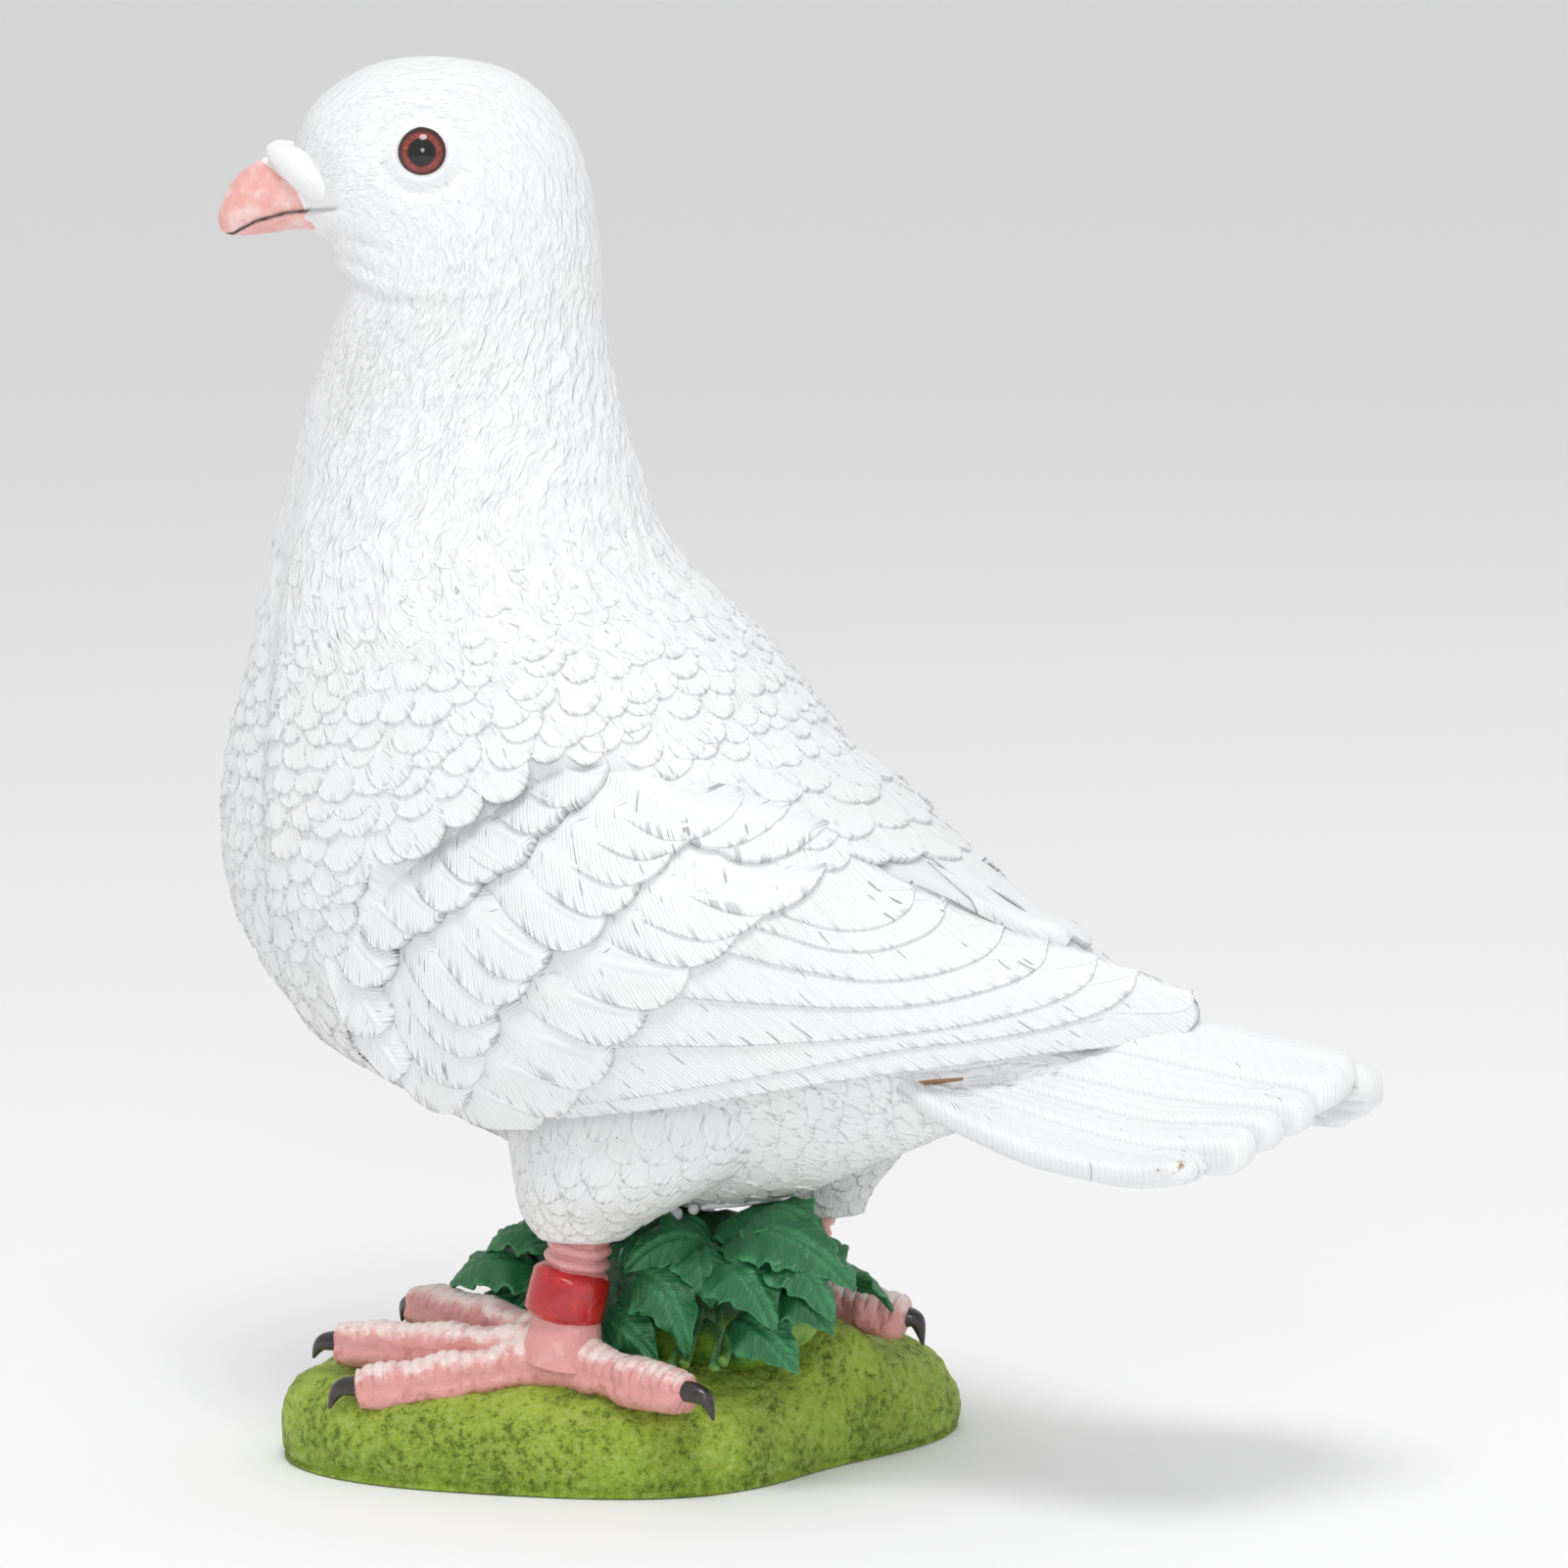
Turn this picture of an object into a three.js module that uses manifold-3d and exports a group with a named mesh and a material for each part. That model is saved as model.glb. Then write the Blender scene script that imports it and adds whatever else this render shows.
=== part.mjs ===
// A life-size white dove of cast and painted resin, standing on a grassy mound with leaves under its
// belly. Units are millimetres. +Z is up, the dove faces -Y, its left side is +X, and the origin lies on
// the mound's flat underside, below the middle of the bird. The dove is one solid: beak, wings, tail, legs,
// leg band and feet are one casting. The two eyes sit in sockets of the head, the mound is the base, and
// the leaves stand on the mound and fill the space between the legs.

import * as THREE from "three";
import { mergeVertices } from "three/addons/utils/BufferGeometryUtils.js";
import Module from "manifold-3d";

const wasm = await Module();
wasm.setup();

// Driving sizes
const HEAD_TURN = THREE.MathUtils.degToRad(24); // the head looks to the dove's left
const TURN_FROM = 150; // height where the neck starts to twist
const TURN_TO = 205; // height where the whole head has turned
const NECK_Y = -30; // the upright axis that the neck twists about
const SEAT_GAP = 0.3; // clearance between neighbouring solids

const MOUND = { centre: [-9.3, -5.4], radius: 49.4, shift: [3.2, 1.8], skew: 9.4, lobe: 2.9, corner: 2.8 };
const EYE = { radius: 5.6, x: 13.4, y: -36.9, z: 227.2 };
const LEG = { left: [25, 0], right: [-22.5, 24.6], rightLift: 2.6, shank: 5.6, band: 6.7 };
const TOE = { radius: 4.3, claw: 2.1 };
const TAIL = { feathers: 10, halfWidth: 36, thick: 5.4, from: 52, to: 136.8, lean: 0.2 };
const TAIL_RIDGE = { z: 84.3, y: 107, fall: 0.2 }; // a point on the tail's ridge, and how steeply it falls
const WING = { thick: 14, tipThick: 2.4, edgeLift: 1.6, innerLift: 0.5, scallop: 2.8 };

// Resolution of the faceted solids
const BODY_RINGS = 26;
const BODY_SIDES = 20;
const MOUND_SIDES = 26;

// The body in side view, from the face to the rump. Each station is a chord from its front or belly point
// to its back point, [yFront, zFront, yBack, zBack, halfWidth], before the head is turned.
const BODY_STATIONS = [
  [-60.6, 214.6, -61.4, 223.6, 5.2],
  [-57.4, 212.2, -59.0, 230.4, 9.8],
  [-54.8, 209.8, -54.8, 236.8, 13.4],
  [-53.0, 206.8, -45.4, 242.2, 16.2],
  [-52.2, 203.8, -33.0, 243.2, 17.8],
  [-52.4, 200.4, -20.8, 240.0, 18.6],
  [-53.6, 196.6, -11.8, 230.4, 18.8],
  [-55.0, 191.8, -7.6, 215.6, 19.2],
  [-57.0, 185.6, -6.4, 200.0, 20.4],
  [-60.0, 177.4, -4.2, 185.6, 23.2],
  [-63.2, 166.4, -0.4, 173.0, 27.6],
  [-67.4, 152.4, 6.2, 158.6, 33.0],
  [-71.2, 136.6, 23.6, 143.4, 38.6],
  [-76.0, 118.6, 40.2, 125.2, 42.6],
  [-76.0, 99.6, 54.4, 110.0, 44.6],
  [-69.6, 83.6, 65.6, 97.0, 44.6],
  [-58.4, 71.6, 75.6, 87.6, 42.4],
  [-41.6, 62.0, 84.4, 84.4, 38.0],
  [-20.6, 53.6, 91.0, 82.6, 32.6],
  [4.0, 46.2, 96.0, 80.6, 27.4],
  [29.0, 47.4, 99.6, 79.4, 22.4],
  [46.0, 55.6, 102.0, 78.4, 17.6],
  [60.0, 64.6, 103.6, 77.0, 12.4],
];

// The folded wing, front to rear. At each y: heights of its belly edge and back edge, its greatest reach to
// the side, the height of that reach, and how far above and below that height the side curves in to nothing.
const WING_STATIONS = [
  { y: -35.5, belly: 83, back: 91, reach: 40, middle: 88, above: 40, below: 46 },
  { y: -31, belly: 76.6, back: 99.4, reach: 41.6, middle: 89, above: 42, below: 48 },
  { y: -20, belly: 68.2, back: 109, reach: 44.2, middle: 92, above: 44, below: 52 },
  { y: -8, belly: 65, back: 118, reach: 46.2, middle: 93.5, above: 45, below: 54 },
  { y: 6, belly: 66.2, back: 125, reach: 47.2, middle: 94, above: 46, below: 56 },
  { y: 22, belly: 69.4, back: 127.2, reach: 46.8, middle: 92, above: 44, below: 54 },
  { y: 40, belly: 72.2, back: 120, reach: 43.4, middle: 88, above: 37, below: 46 },
  { y: 54, belly: 74.2, back: 110, reach: 38, middle: 84, above: 30, below: 38 },
  { y: 64, belly: 75.2, back: 104, reach: 32.4, middle: 82, above: 25, below: 30 },
  { y: 75, belly: 75.9, back: 98.4, reach: 25.7, middle: 80, above: 20, below: 24 },
  { y: 87, belly: 77.9, back: 95.2, reach: 15.8, middle: 80, above: 17, below: 18 },
  { y: 97, belly: 79.7, back: 91.7, reach: 8.8, middle: 82, above: 11.6, below: 12 },
  { y: 107, belly: 82.4, back: 88.6, reach: 3.8, middle: 84, above: 7, below: 8 },
];

// Flight feathers from the lowest one up: root, middle and tip of the lower edge in side view
const FLIGHT_FEATHERS = [
  { root: [7, 67], middle: [55.4, 75.3], tip: [106, 81.8], width: 7 },
  { root: [10, 70], middle: [55.4, 77.8], tip: [107.4, 85.6], width: 8 },
  { root: [19, 78.6], middle: [62, 81.8], tip: [96.7, 89.4], width: 9 },
  { root: [26, 87], middle: [61.9, 87.4], tip: [83.4, 92.4], width: 9 },
  { root: [32, 94.6], middle: [55, 92], tip: [75.9, 95.2], width: 8 },
  { root: [36, 100.4], middle: [55, 96.8], tip: [68, 99.6], width: 8 },
];

// Rows of coverts from the flight feathers forward: the arc that their rear edges follow, their length, how
// many there are, and how far the row stands over the plain wing at its front and rear edge
const COVERT_ROWS = [
  { from: [4, 67], over: [33, 98], to: [55, 109], length: 25, count: 9, front: 0.8, rear: 2.5 },
  { from: [-10, 69], over: [4, 98], to: [36, 118], length: 22, count: 8, front: 0.6, rear: 2.3 },
  { from: [-25, 79], over: [-11, 106], to: [14, 123], length: 13, count: 7, front: -0.8, rear: 1.9 },
];

// Leaves: where each one starts and ends, and its width. The first eleven spread behind the left leg, three
// lie in front of it and the rest hang on the hidden side.
const LEAVES = [
  { from: [6, 17, 40.5], to: [20, 9, 36], width: 11 },
  { from: [12, 8, 31], to: [24, 21.5, 24.2], width: 13 },
  { from: [13, 4, 26.5], to: [24.5, 17, 22.4], width: 9 },
  { from: [9, 22, 37.5], to: [21.5, 34.4, 27.6], width: 11 },
  { from: [6, 26, 39.5], to: [14.5, 46, 28.8], width: 9.5 },
  { from: [4, 14, 42], to: [4, 31, 44], width: 9 },
  { from: [1, 29, 43.4], to: [6, 41, 41.6], width: 8 },
  { from: [2, 31, 39.6], to: [6.5, 46.6, 33.4], width: 9 },
  { from: [15, 28, 27.6], to: [27, 45, 21.6], width: 8.6 },
  { from: [11, 14, 34.6], to: [21.5, 6, 33.6], width: 7 },
  { from: [10, 30, 27], to: [19, 35, 21.4], width: 6 },
  { from: [4, -11, 39.6], to: [10.5, -23, 36], width: 9 },
  { from: [6, -13, 34], to: [12, -30, 29.2], width: 10.5 },
  { from: [6, -12, 29.8], to: [16.5, -17, 24.4], width: 6.4 },
  { from: [-4, 10, 41], to: [-15, 2, 33], width: 10 },
  { from: [-6, 2, 34], to: [-17, -12, 27], width: 10 },
  { from: [-2, -12, 36], to: [-8, -27, 30], width: 9 },
];
const LEAF = { thick: 1.6, bow: 0.2, fold: 0.16 };

const smooth = THREE.MathUtils.smoothstep;
const lerp = THREE.MathUtils.lerp;

// Value of a smooth curve through equally spaced samples, at t from 0 to 1
function along(values, t) {
  const curve = new THREE.SplineCurve(values.map((value, i) => new THREE.Vector2(i, value)));
  return curve.getPoint(t).y;
}

// Turns a point of the untwisted head and neck about the neck axis
function turned(point) {
  const angle = HEAD_TURN * smooth(point.z, TURN_FROM, TURN_TO);
  const y = point.y - NECK_Y;
  const x = point.x;
  return new THREE.Vector3(
    x * Math.cos(angle) - y * Math.sin(angle),
    NECK_Y + x * Math.sin(angle) + y * Math.cos(angle),
    point.z,
  );
}

// A closed solid from points and triangles, turned right side out if it was made inside out
function solidFrom(points, triangles) {
  const geometry = new THREE.BufferGeometry().setFromPoints(points);
  geometry.setIndex(triangles.flat());
  const merged = mergeVertices(geometry, 1e-3);
  const position = merged.getAttribute("position");
  const index = Array.from(merged.getIndex().array);
  let volume = 0;
  const [a, b, c] = [new THREE.Vector3(), new THREE.Vector3(), new THREE.Vector3()];
  const kept = [];
  for (let i = 0; i < index.length; i += 3) {
    const [p, q, r] = index.slice(i, i + 3);
    if (p === q || q === r || r === p) continue;
    a.fromBufferAttribute(position, p);
    b.fromBufferAttribute(position, q);
    c.fromBufferAttribute(position, r);
    volume += a.dot(b.cross(c));
    kept.push([p, q, r]);
  }
  const faces = volume < 0 ? kept.map(([p, q, r]) => [p, r, q]) : kept;
  return new wasm.Manifold(
    new wasm.Mesh({ numProp: 3, vertProperties: position.array, triVerts: new Uint32Array(faces.flat()) }),
  );
}

// A solid skinned over rings of equal point count, closed at both ends
function loft(rings) {
  const sides = rings[0].length;
  const points = rings.flat();
  const triangles = [];
  for (let i = 0; i + 1 < rings.length; i++) {
    for (let j = 0; j < sides; j++) {
      const k = (j + 1) % sides;
      const [p, q] = [i * sides + j, i * sides + k];
      const [r, s] = [p + sides, q + sides];
      triangles.push([p, q, s], [p, s, r]);
    }
  }
  for (const [end, flip] of [[0, true], [rings.length - 1, false]]) {
    const middle = new THREE.Vector3();
    rings[end].forEach((point) => middle.addScaledVector(point, 1 / sides));
    points.push(middle);
    for (let j = 0; j < sides; j++) {
      const pair = [end * sides + j, end * sides + ((j + 1) % sides)];
      if (flip) pair.reverse();
      triangles.push([...pair, points.length - 1]);
    }
  }
  return solidFrom(points, triangles);
}

// A plate between an upper and a lower grid of points, [row][column], closed round its rim
function plate(upper, lower) {
  const rows = upper.length;
  const columns = upper[0].length;
  const points = [...upper.flat(), ...lower.flat()];
  const half = rows * columns;
  const triangles = [];
  const quad = (p, q, r, s) => triangles.push([p, q, r], [p, r, s]);
  for (let i = 0; i + 1 < rows; i++) {
    for (let j = 0; j + 1 < columns; j++) {
      const p = i * columns + j;
      quad(p, p + 1, p + columns + 1, p + columns);
      quad(half + p, half + p + columns, half + p + columns + 1, half + p + 1);
    }
  }
  const rim = [];
  for (let j = 0; j < columns; j++) rim.push(j);
  for (let i = 1; i < rows; i++) rim.push(i * columns + columns - 1);
  for (let j = columns - 2; j >= 0; j--) rim.push((rows - 1) * columns + j);
  for (let i = rows - 2; i > 0; i--) rim.push(i * columns);
  rim.forEach((p, n) => {
    const q = rim[(n + 1) % rim.length];
    quad(q, p, half + p, half + q);
  });
  return solidFrom(points, triangles);
}

// A round bar whose centre follows a curve and whose radius changes along it
function bar(path, radii, steps, sides, grow = 0) {
  const curve = new THREE.CatmullRomCurve3(path.map((p) => new THREE.Vector3(...p)));
  const frames = curve.computeFrenetFrames(steps);
  const rings = [];
  for (let i = 0; i <= steps; i++) {
    const centre = curve.getPointAt(i / steps);
    const radius = along(radii, i / steps) + grow;
    rings.push(
      Array.from({ length: sides }, (_, j) => {
        const angle = (2 * Math.PI * j) / sides;
        return centre
          .clone()
          .addScaledVector(frames.normals[i], radius * Math.cos(angle))
          .addScaledVector(frames.binormals[i], radius * Math.sin(angle));
      }),
    );
  }
  return loft(rings);
}

function trianglesOf(geometry) {
  const index = Array.from(geometry.getIndex().array);
  return Array.from({ length: index.length / 3 }, (_, i) => index.slice(3 * i, 3 * i + 3));
}

function joined(solids) {
  return solids.reduce((sum, solid) => sum.add(solid));
}

function ball(radii, centre, turn = 0, sides = 8) {
  const sphere = new THREE.SphereGeometry(1, sides, Math.round(0.6 * sides));
  sphere.scale(...radii).rotateX(turn).translate(...centre);
  const position = sphere.getAttribute("position");
  const points = Array.from({ length: position.count }, (_, i) =>
    turned(new THREE.Vector3().fromBufferAttribute(position, i)),
  );
  return solidFrom(points, trianglesOf(sphere));
}

// Head, neck and trunk
function bodySolid(grow = 0) {
  const column = (k) => BODY_STATIONS.map((station) => station[k]);
  const rings = [];
  for (let i = 0; i < BODY_RINGS; i++) {
    const t = i / (BODY_RINGS - 1);
    const front = new THREE.Vector3(0, along(column(0), t), along(column(1), t));
    const back = new THREE.Vector3(0, along(column(2), t), along(column(3), t));
    const half = back.clone().sub(front).multiplyScalar(0.5);
    const middle = front.clone().add(half);
    half.setLength(half.length() + grow);
    const width = along(column(4), t) + grow;
    rings.push(
      Array.from({ length: BODY_SIDES }, (_, j) => {
        const angle = (2 * Math.PI * j) / BODY_SIDES;
        const point = middle.clone().addScaledVector(half, Math.cos(angle));
        point.x = width * Math.sin(angle);
        return turned(point);
      }),
    );
  }
  return loft(rings);
}

// Beak with its two swollen nostril lobes
function beakSolid() {
  const stations = [
    { y: -54, top: 225, bottom: 212.6, half: 7.4 },
    { y: -59, top: 225, bottom: 212.2, half: 6.8 },
    { y: -63.6, top: 225, bottom: 211.9, half: 6 },
    { y: -68, top: 223, bottom: 211.9, half: 4.9 },
    { y: -71.2, top: 219.6, bottom: 212.2, half: 3.4 },
    { y: -72.8, top: 216, bottom: 213, half: 1.5 },
  ];
  const rings = stations.map(({ y, top, bottom, half }) =>
    Array.from({ length: 9 }, (_, j) => {
      const angle = (2 * Math.PI * j) / 9;
      const middle = (top + bottom) / 2;
      return turned(
        new THREE.Vector3(half * Math.sin(angle), y, middle + ((top - bottom) / 2) * Math.cos(angle)),
      );
    }),
  );
  const lobes = [-1, 1].map((side) => ball([4.1, 7, 4.5], [side * 2.9, -60.2, 223.8], -0.35));
  return joined([loft(rings), ...lobes]);
}

// Value of one column of the wing table, read smoothly at y
function wingAt(key, y) {
  const last = WING_STATIONS.length - 1;
  const place = THREE.MathUtils.clamp(y, WING_STATIONS[0].y, WING_STATIONS[last].y);
  const next = Math.max(1, WING_STATIONS.findIndex((station) => station.y >= place));
  const share = (place - WING_STATIONS[next - 1].y) / (WING_STATIONS[next].y - WING_STATIONS[next - 1].y);
  return along(WING_STATIONS.map((station) => station[key]), (next - 1 + share) / last);
}

// A point on the folded wing over (y, z) of the side view, lifted off its surface. The right wing tip is
// tucked under the left one.
function onWing(side, y, z, lift) {
  const rise = z - wingAt("middle", y);
  const limit = wingAt(rise > 0 ? "above" : "below", y);
  const reach = wingAt("reach", y) * Math.sqrt(Math.max(0.05, 1 - (rise / limit) ** 2));
  const tuck = side < 0 ? Math.max(0, y - 62) : 0;
  return new THREE.Vector3(side * (reach + lift), y - 0.14 * tuck, z - 0.05 * tuck);
}

// The plain plate of the folded wing, sunk into the flank and free beyond the rump
function wingPlate(side) {
  const columns = 3;
  const upper = [];
  const lower = [];
  for (const { y, belly, back } of WING_STATIONS) {
    const thick = lerp(WING.thick, WING.tipThick, smooth(y, 30, 84));
    const heights = Array.from({ length: columns + 1 }, (_, j) => lerp(back, belly, j / columns));
    upper.push(heights.map((z) => onWing(side, y, z, 0)));
    lower.push(heights.map((z) => onWing(side, y, z, -thick)));
  }
  return plate(upper, lower);
}

// One flight feather lying on the wing, from its lower edge, a curve in side view from root to tip, up to
// its width. The lower edge stands proud, the upper one lies under the next feather and the tip is rounded.
function flightFeather(side, { root, middle, tip, width }) {
  const over = [0, 1].map((k) => 2 * middle[k] - (root[k] + tip[k]) / 2);
  const edge = new THREE.QuadraticBezierCurve(...[root, over, tip].map((p) => new THREE.Vector2(...p)));
  const upper = [];
  const lower = [];
  for (const s of [0, 0.45, 0.8, 1]) {
    const heading = edge.getTangent(s);
    const across = new THREE.Vector2(-heading.y, heading.x);
    const round = Math.sqrt(Math.max(0, 1 - Math.max(0, (s - 0.7) / 0.3) ** 2));
    const centre = edge.getPoint(s).addScaledVector(across, width / 2);
    const half = (width / 2) * Math.max(0.3, round);
    const ends = [1, -1].map((t) => centre.clone().addScaledVector(across, t * half));
    for (const end of ends) end.y = Math.min(end.y, wingAt("back", end.x) + 0.4);
    upper.push(ends.map((end, t) => onWing(side, end.x, end.y, t ? WING.edgeLift : WING.innerLift)));
    lower.push(ends.map((end) => onWing(side, end.x, end.y, 0.5 - WING.tipThick)));
  }
  return plate(upper, lower);
}

// A row of coverts as one layer with a scalloped rear edge, a scallop to a feather
function covertRow(side, { from, over, to, length, count, front, rear }) {
  const arc = new THREE.QuadraticBezierCurve(...[from, over, to].map((p) => new THREE.Vector2(...p)));
  const upper = [];
  const lower = [];
  for (let i = 0; i <= 3 * count; i++) {
    const share = i / (3 * count);
    const slope = lerp(-0.62, -0.36, share);
    const heading = new THREE.Vector2(Math.cos(slope), Math.sin(slope));
    const back = arc.getPoint(share).addScaledVector(heading, i % 3 ? 0 : -WING.scallop);
    const shares = length > 15 ? [0, 0.6, 1] : [0, 1];
    const spots = shares.map((s) => back.clone().addScaledVector(heading, (s - 1) * length));
    upper.push(spots.map((spot, k) => onWing(side, spot.x, spot.y, lerp(front, rear, shares[k]))));
    lower.push(spots.map((spot) => onWing(side, spot.x, spot.y, 0.5 - WING.tipThick)));
  }
  return plate(upper, lower);
}

function wingSolid(side) {
  const flights = FLIGHT_FEATHERS.map((feather) => flightFeather(side, feather));
  return joined([wingPlate(side), ...flights, ...COVERT_ROWS.map((row) => covertRow(side, row))]);
}

// Height of the top of the tail, which is arched across and falls gently towards its tip
function tailTop(x, y) {
  const arch = lerp(0.0266, 0.0134, smooth(y, 58, 114));
  return TAIL_RIDGE.z - TAIL_RIDGE.fall * (y - TAIL_RIDGE.y) - arch * x * x;
}

// The tail: thick feathers side by side in a narrow fan with rounded, drooping ends. The middle pair lies on
// top and each feather steps down to the next one out.
function tailSolid() {
  const upper = [];
  const lower = [];
  for (const [share, end] of [[0, 0], [0.42, 0], [0.76, 0], [0.94, 0], [1, 0], [1, 1]]) {
    const top = [];
    const bottom = [];
    for (let i = 0; i < TAIL.feathers; i++) {
      const place = ((2 * i + 1) / TAIL.feathers - 1) / 0.9;
      const short = 12.7 * Math.abs(place + TAIL.lean) ** 1.8 + 7 * Math.max(0, -place) ** 5;
      const reach = TAIL.to - short;
      const y = lerp(TAIL.from, reach - 3.4, share) + 3.4 * end;
      const fan = TAIL.halfWidth * (1 - 0.36 * Math.max(0, (112 - y) / 60) ** 2);
      for (const t of [0, 1]) {
        const border = (2 * (i + t)) / TAIL.feathers - 1;
        const inset = 0.12 + (Math.abs(border) === 1 ? 3.4 : 1.5) * end;
        const x = fan * border + inset * (t ? -1 : 1);
        const droop = 1.6 * smooth(share, 0.76, 1) + 1.7 * end;
        const step = Math.abs(border) > Math.abs(0.9 * place) ? 0.8 : -0.8;
        const z = tailTop(x, y) + step - droop;
        top.push(new THREE.Vector3(x, y, z));
        bottom.push(new THREE.Vector3(x, y, z - TAIL.thick + 2.6 * end));
      }
    }
    upper.push(top);
    lower.push(bottom);
  }
  return plate(upper, lower);
}

// Feathered thigh: rings from inside the belly down to the top of the bare leg. The reach is how far it runs
// back under the belly.
function thighSolid([x, y], lift, reach, grow = 0) {
  const side = Math.sign(x);
  const rings = [
    { x: x - 3 * side, y: y + 0.56 * reach, z: 70, rx: 15, ry: reach },
    { x: x - 1.5 * side, y: y + 0.5 * reach, z: 60, rx: 14.6, ry: 0.88 * reach },
    { x, y: y + 0.34 * reach, z: 51.5, rx: 12.6, ry: 4 + 0.5 * reach },
    { x, y: y + 0.18 * reach, z: 45 + 0.5 * lift, rx: 9.6, ry: 5.8 + 0.23 * reach },
    { x, y: y + 2 + 0.05 * reach, z: 40.4 + lift, rx: 7.2, ry: 7.6 },
  ].map((ring) =>
    Array.from({ length: 10 }, (_, j) => {
      const angle = (2 * Math.PI * j) / 10;
      return new THREE.Vector3(
        ring.x + (ring.rx + grow) * Math.cos(angle),
        ring.y + (ring.ry + grow) * Math.sin(angle),
        ring.z - grow,
      );
    }),
  );
  return loft(rings);
}

// Toes: reach outward and forward from the ankle and height, at the root, two knuckles and the end, then the
// claw tip
const LEFT_TOES = [
  { path: [[0, 0, 22.2], [5, 12, 19.6], [10.4, 24, 17.6], [14, 32.6, 16.4]], claw: [15, 37.8, 12.4] },
  { path: [[0, 0, 22.6], [1, 15, 22.4], [2, 30, 22.0], [2.4, 42, 21.6]], claw: [2.4, 47.4, 18.2] },
  { path: [[0, 0, 22.8], [-6, 12, 24.4], [-11.4, 25, 25.6], [-15, 36, 25.8]], claw: [-16.4, 39.6, 22] },
  { path: [[0, -1, 21.6], [3.4, -11, 20.4], [6.4, -20, 19.8], [8.6, -26.6, 19.6]], claw: [9.4, -32.4, 15.2] },
];
const RIGHT_TOES = [
  { path: [[0, 0, 23.6], [6, 11, 21.6], [11, 21, 19.8], [14, 29, 18.6]], claw: [15.4, 32.6, 14.8] },
  { path: [[0, 0, 24], [1.4, 14, 23.4], [2.6, 28, 22.8], [3.4, 40, 22.0]], claw: [3.6, 44.4, 18.2] },
  { path: [[0, 0, 24], [-5, 11, 24.2], [-10, 22, 24], [-13.4, 31, 23.6]], claw: [-15, 35, 20] },
  { path: [[0, -1, 24.6], [0.4, -8, 25], [0.8, -14, 24.4], [1.2, -18.4, 23.4]], claw: [1.8, -21.4, 18.6] },
];

function footSolid([x, y], toes, lift, grow = 0) {
  const side = Math.sign(x);
  const place = ([out, forward, z]) => [x + side * out, y - forward, z];
  const toeRadii = [TOE.radius + 0.8, TOE.radius, TOE.radius, TOE.radius - 0.9];
  const parts = toes.map(({ path }) => bar(path.map(place), toeRadii, 3, 6, grow));
  for (const { path, claw } of toes) {
    const start = path.at(-1).map((value, k) => lerp(path.at(-2)[k], value, 0.8));
    const knee = [0.66, 0.76, 0.24].map((share, k) => lerp(start[k], claw[k], share));
    parts.push(bar([start, knee, claw].map(place), [TOE.claw, TOE.claw - 0.2, 0.5], 2, 4, grow));
  }
  const shank = [21, 28, 35, 42.5 + lift].map((z) => [x, y + 0.16 * (z - 22), z]);
  parts.push(bar(shank, [LEG.shank + 1.4, LEG.shank - 0.2, LEG.shank - 0.2, LEG.shank], 3, 10, grow));
  return joined(parts);
}

// The raised leg band, above the left foot only
function legBand(grow = 0) {
  const [x, y] = LEG.left;
  return bar(
    [[x, y + 1.0, 28.8], [x, y + 1.6, 32.4], [x, y + 2.2, 36]],
    [LEG.band - 0.2, LEG.band, LEG.band - 0.1],
    2,
    10,
    grow,
  );
}

// The grassy mound: a low dome with a steep rim over a rounded, skewed outline, lower towards the tail
function moundSolid(grow = 0) {
  const [shiftX, shiftY] = MOUND.shift;
  const rings = [
    { share: 0.97, z: 0 },
    { share: 1, z: 4 },
    { share: 0.99, z: 9 },
    { share: 0.955, z: 12.8 },
    { share: 0.86, z: 16 },
    { share: 0.66, z: 18.6 },
    { share: 0.36, z: 20.2 },
  ].map(({ share, z }) =>
    Array.from({ length: MOUND_SIDES }, (_, j) => {
      const angle = (2 * Math.PI * j) / MOUND_SIDES;
      const skew = MOUND.skew * Math.sin(2 * angle);
      const lobes = MOUND.lobe * Math.sin(3 * angle) - MOUND.corner * Math.cos(4 * angle);
      const radius = MOUND.radius + shiftX * Math.cos(angle) + shiftY * Math.sin(angle) - skew + lobes;
      const x = MOUND.centre[0] + share * radius * Math.cos(angle);
      const y = MOUND.centre[1] + share * radius * Math.sin(angle);
      const low = 1 - 0.26 * smooth(0.91 * y - 0.41 * x, 25, 62) * smooth(z, 20, 9);
      return new THREE.Vector3(x, y, z > 0 ? z * low + grow : -grow);
    }),
  );
  return loft(rings);
}

// One drooping pointed leaf, bowed upwards between its ends and folded along its middle
function leafSolid({ from, to, width }) {
  const [start, end] = [new THREE.Vector3(...from), new THREE.Vector3(...to)];
  const length = start.distanceTo(end);
  const over = start.clone().lerp(end, 0.55);
  over.z += LEAF.bow * length;
  const spine = new THREE.QuadraticBezierCurve3(start, over, end);
  const upper = [];
  const lower = [];
  for (const s of [0, 0.36, 0.7, 1]) {
    const heading = spine.getTangent(s);
    const across = new THREE.Vector3(-heading.y, heading.x, 0).normalize();
    const normal = heading.clone().cross(across);
    const half = width * Math.max(0.07, 0.55 * Math.sin(Math.PI * (0.16 + 0.84 * s) ** 0.9));
    const line = [-1, 0, 1].map((t) => {
      const drop = -LEAF.fold * half * Math.abs(t);
      return spine.getPoint(s).addScaledVector(across, t * half).addScaledVector(normal, drop);
    });
    upper.push(line);
    lower.push(line.map((point) => point.clone().addScaledVector(normal, -LEAF.thick)));
  }
  return plate(upper, lower);
}

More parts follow.
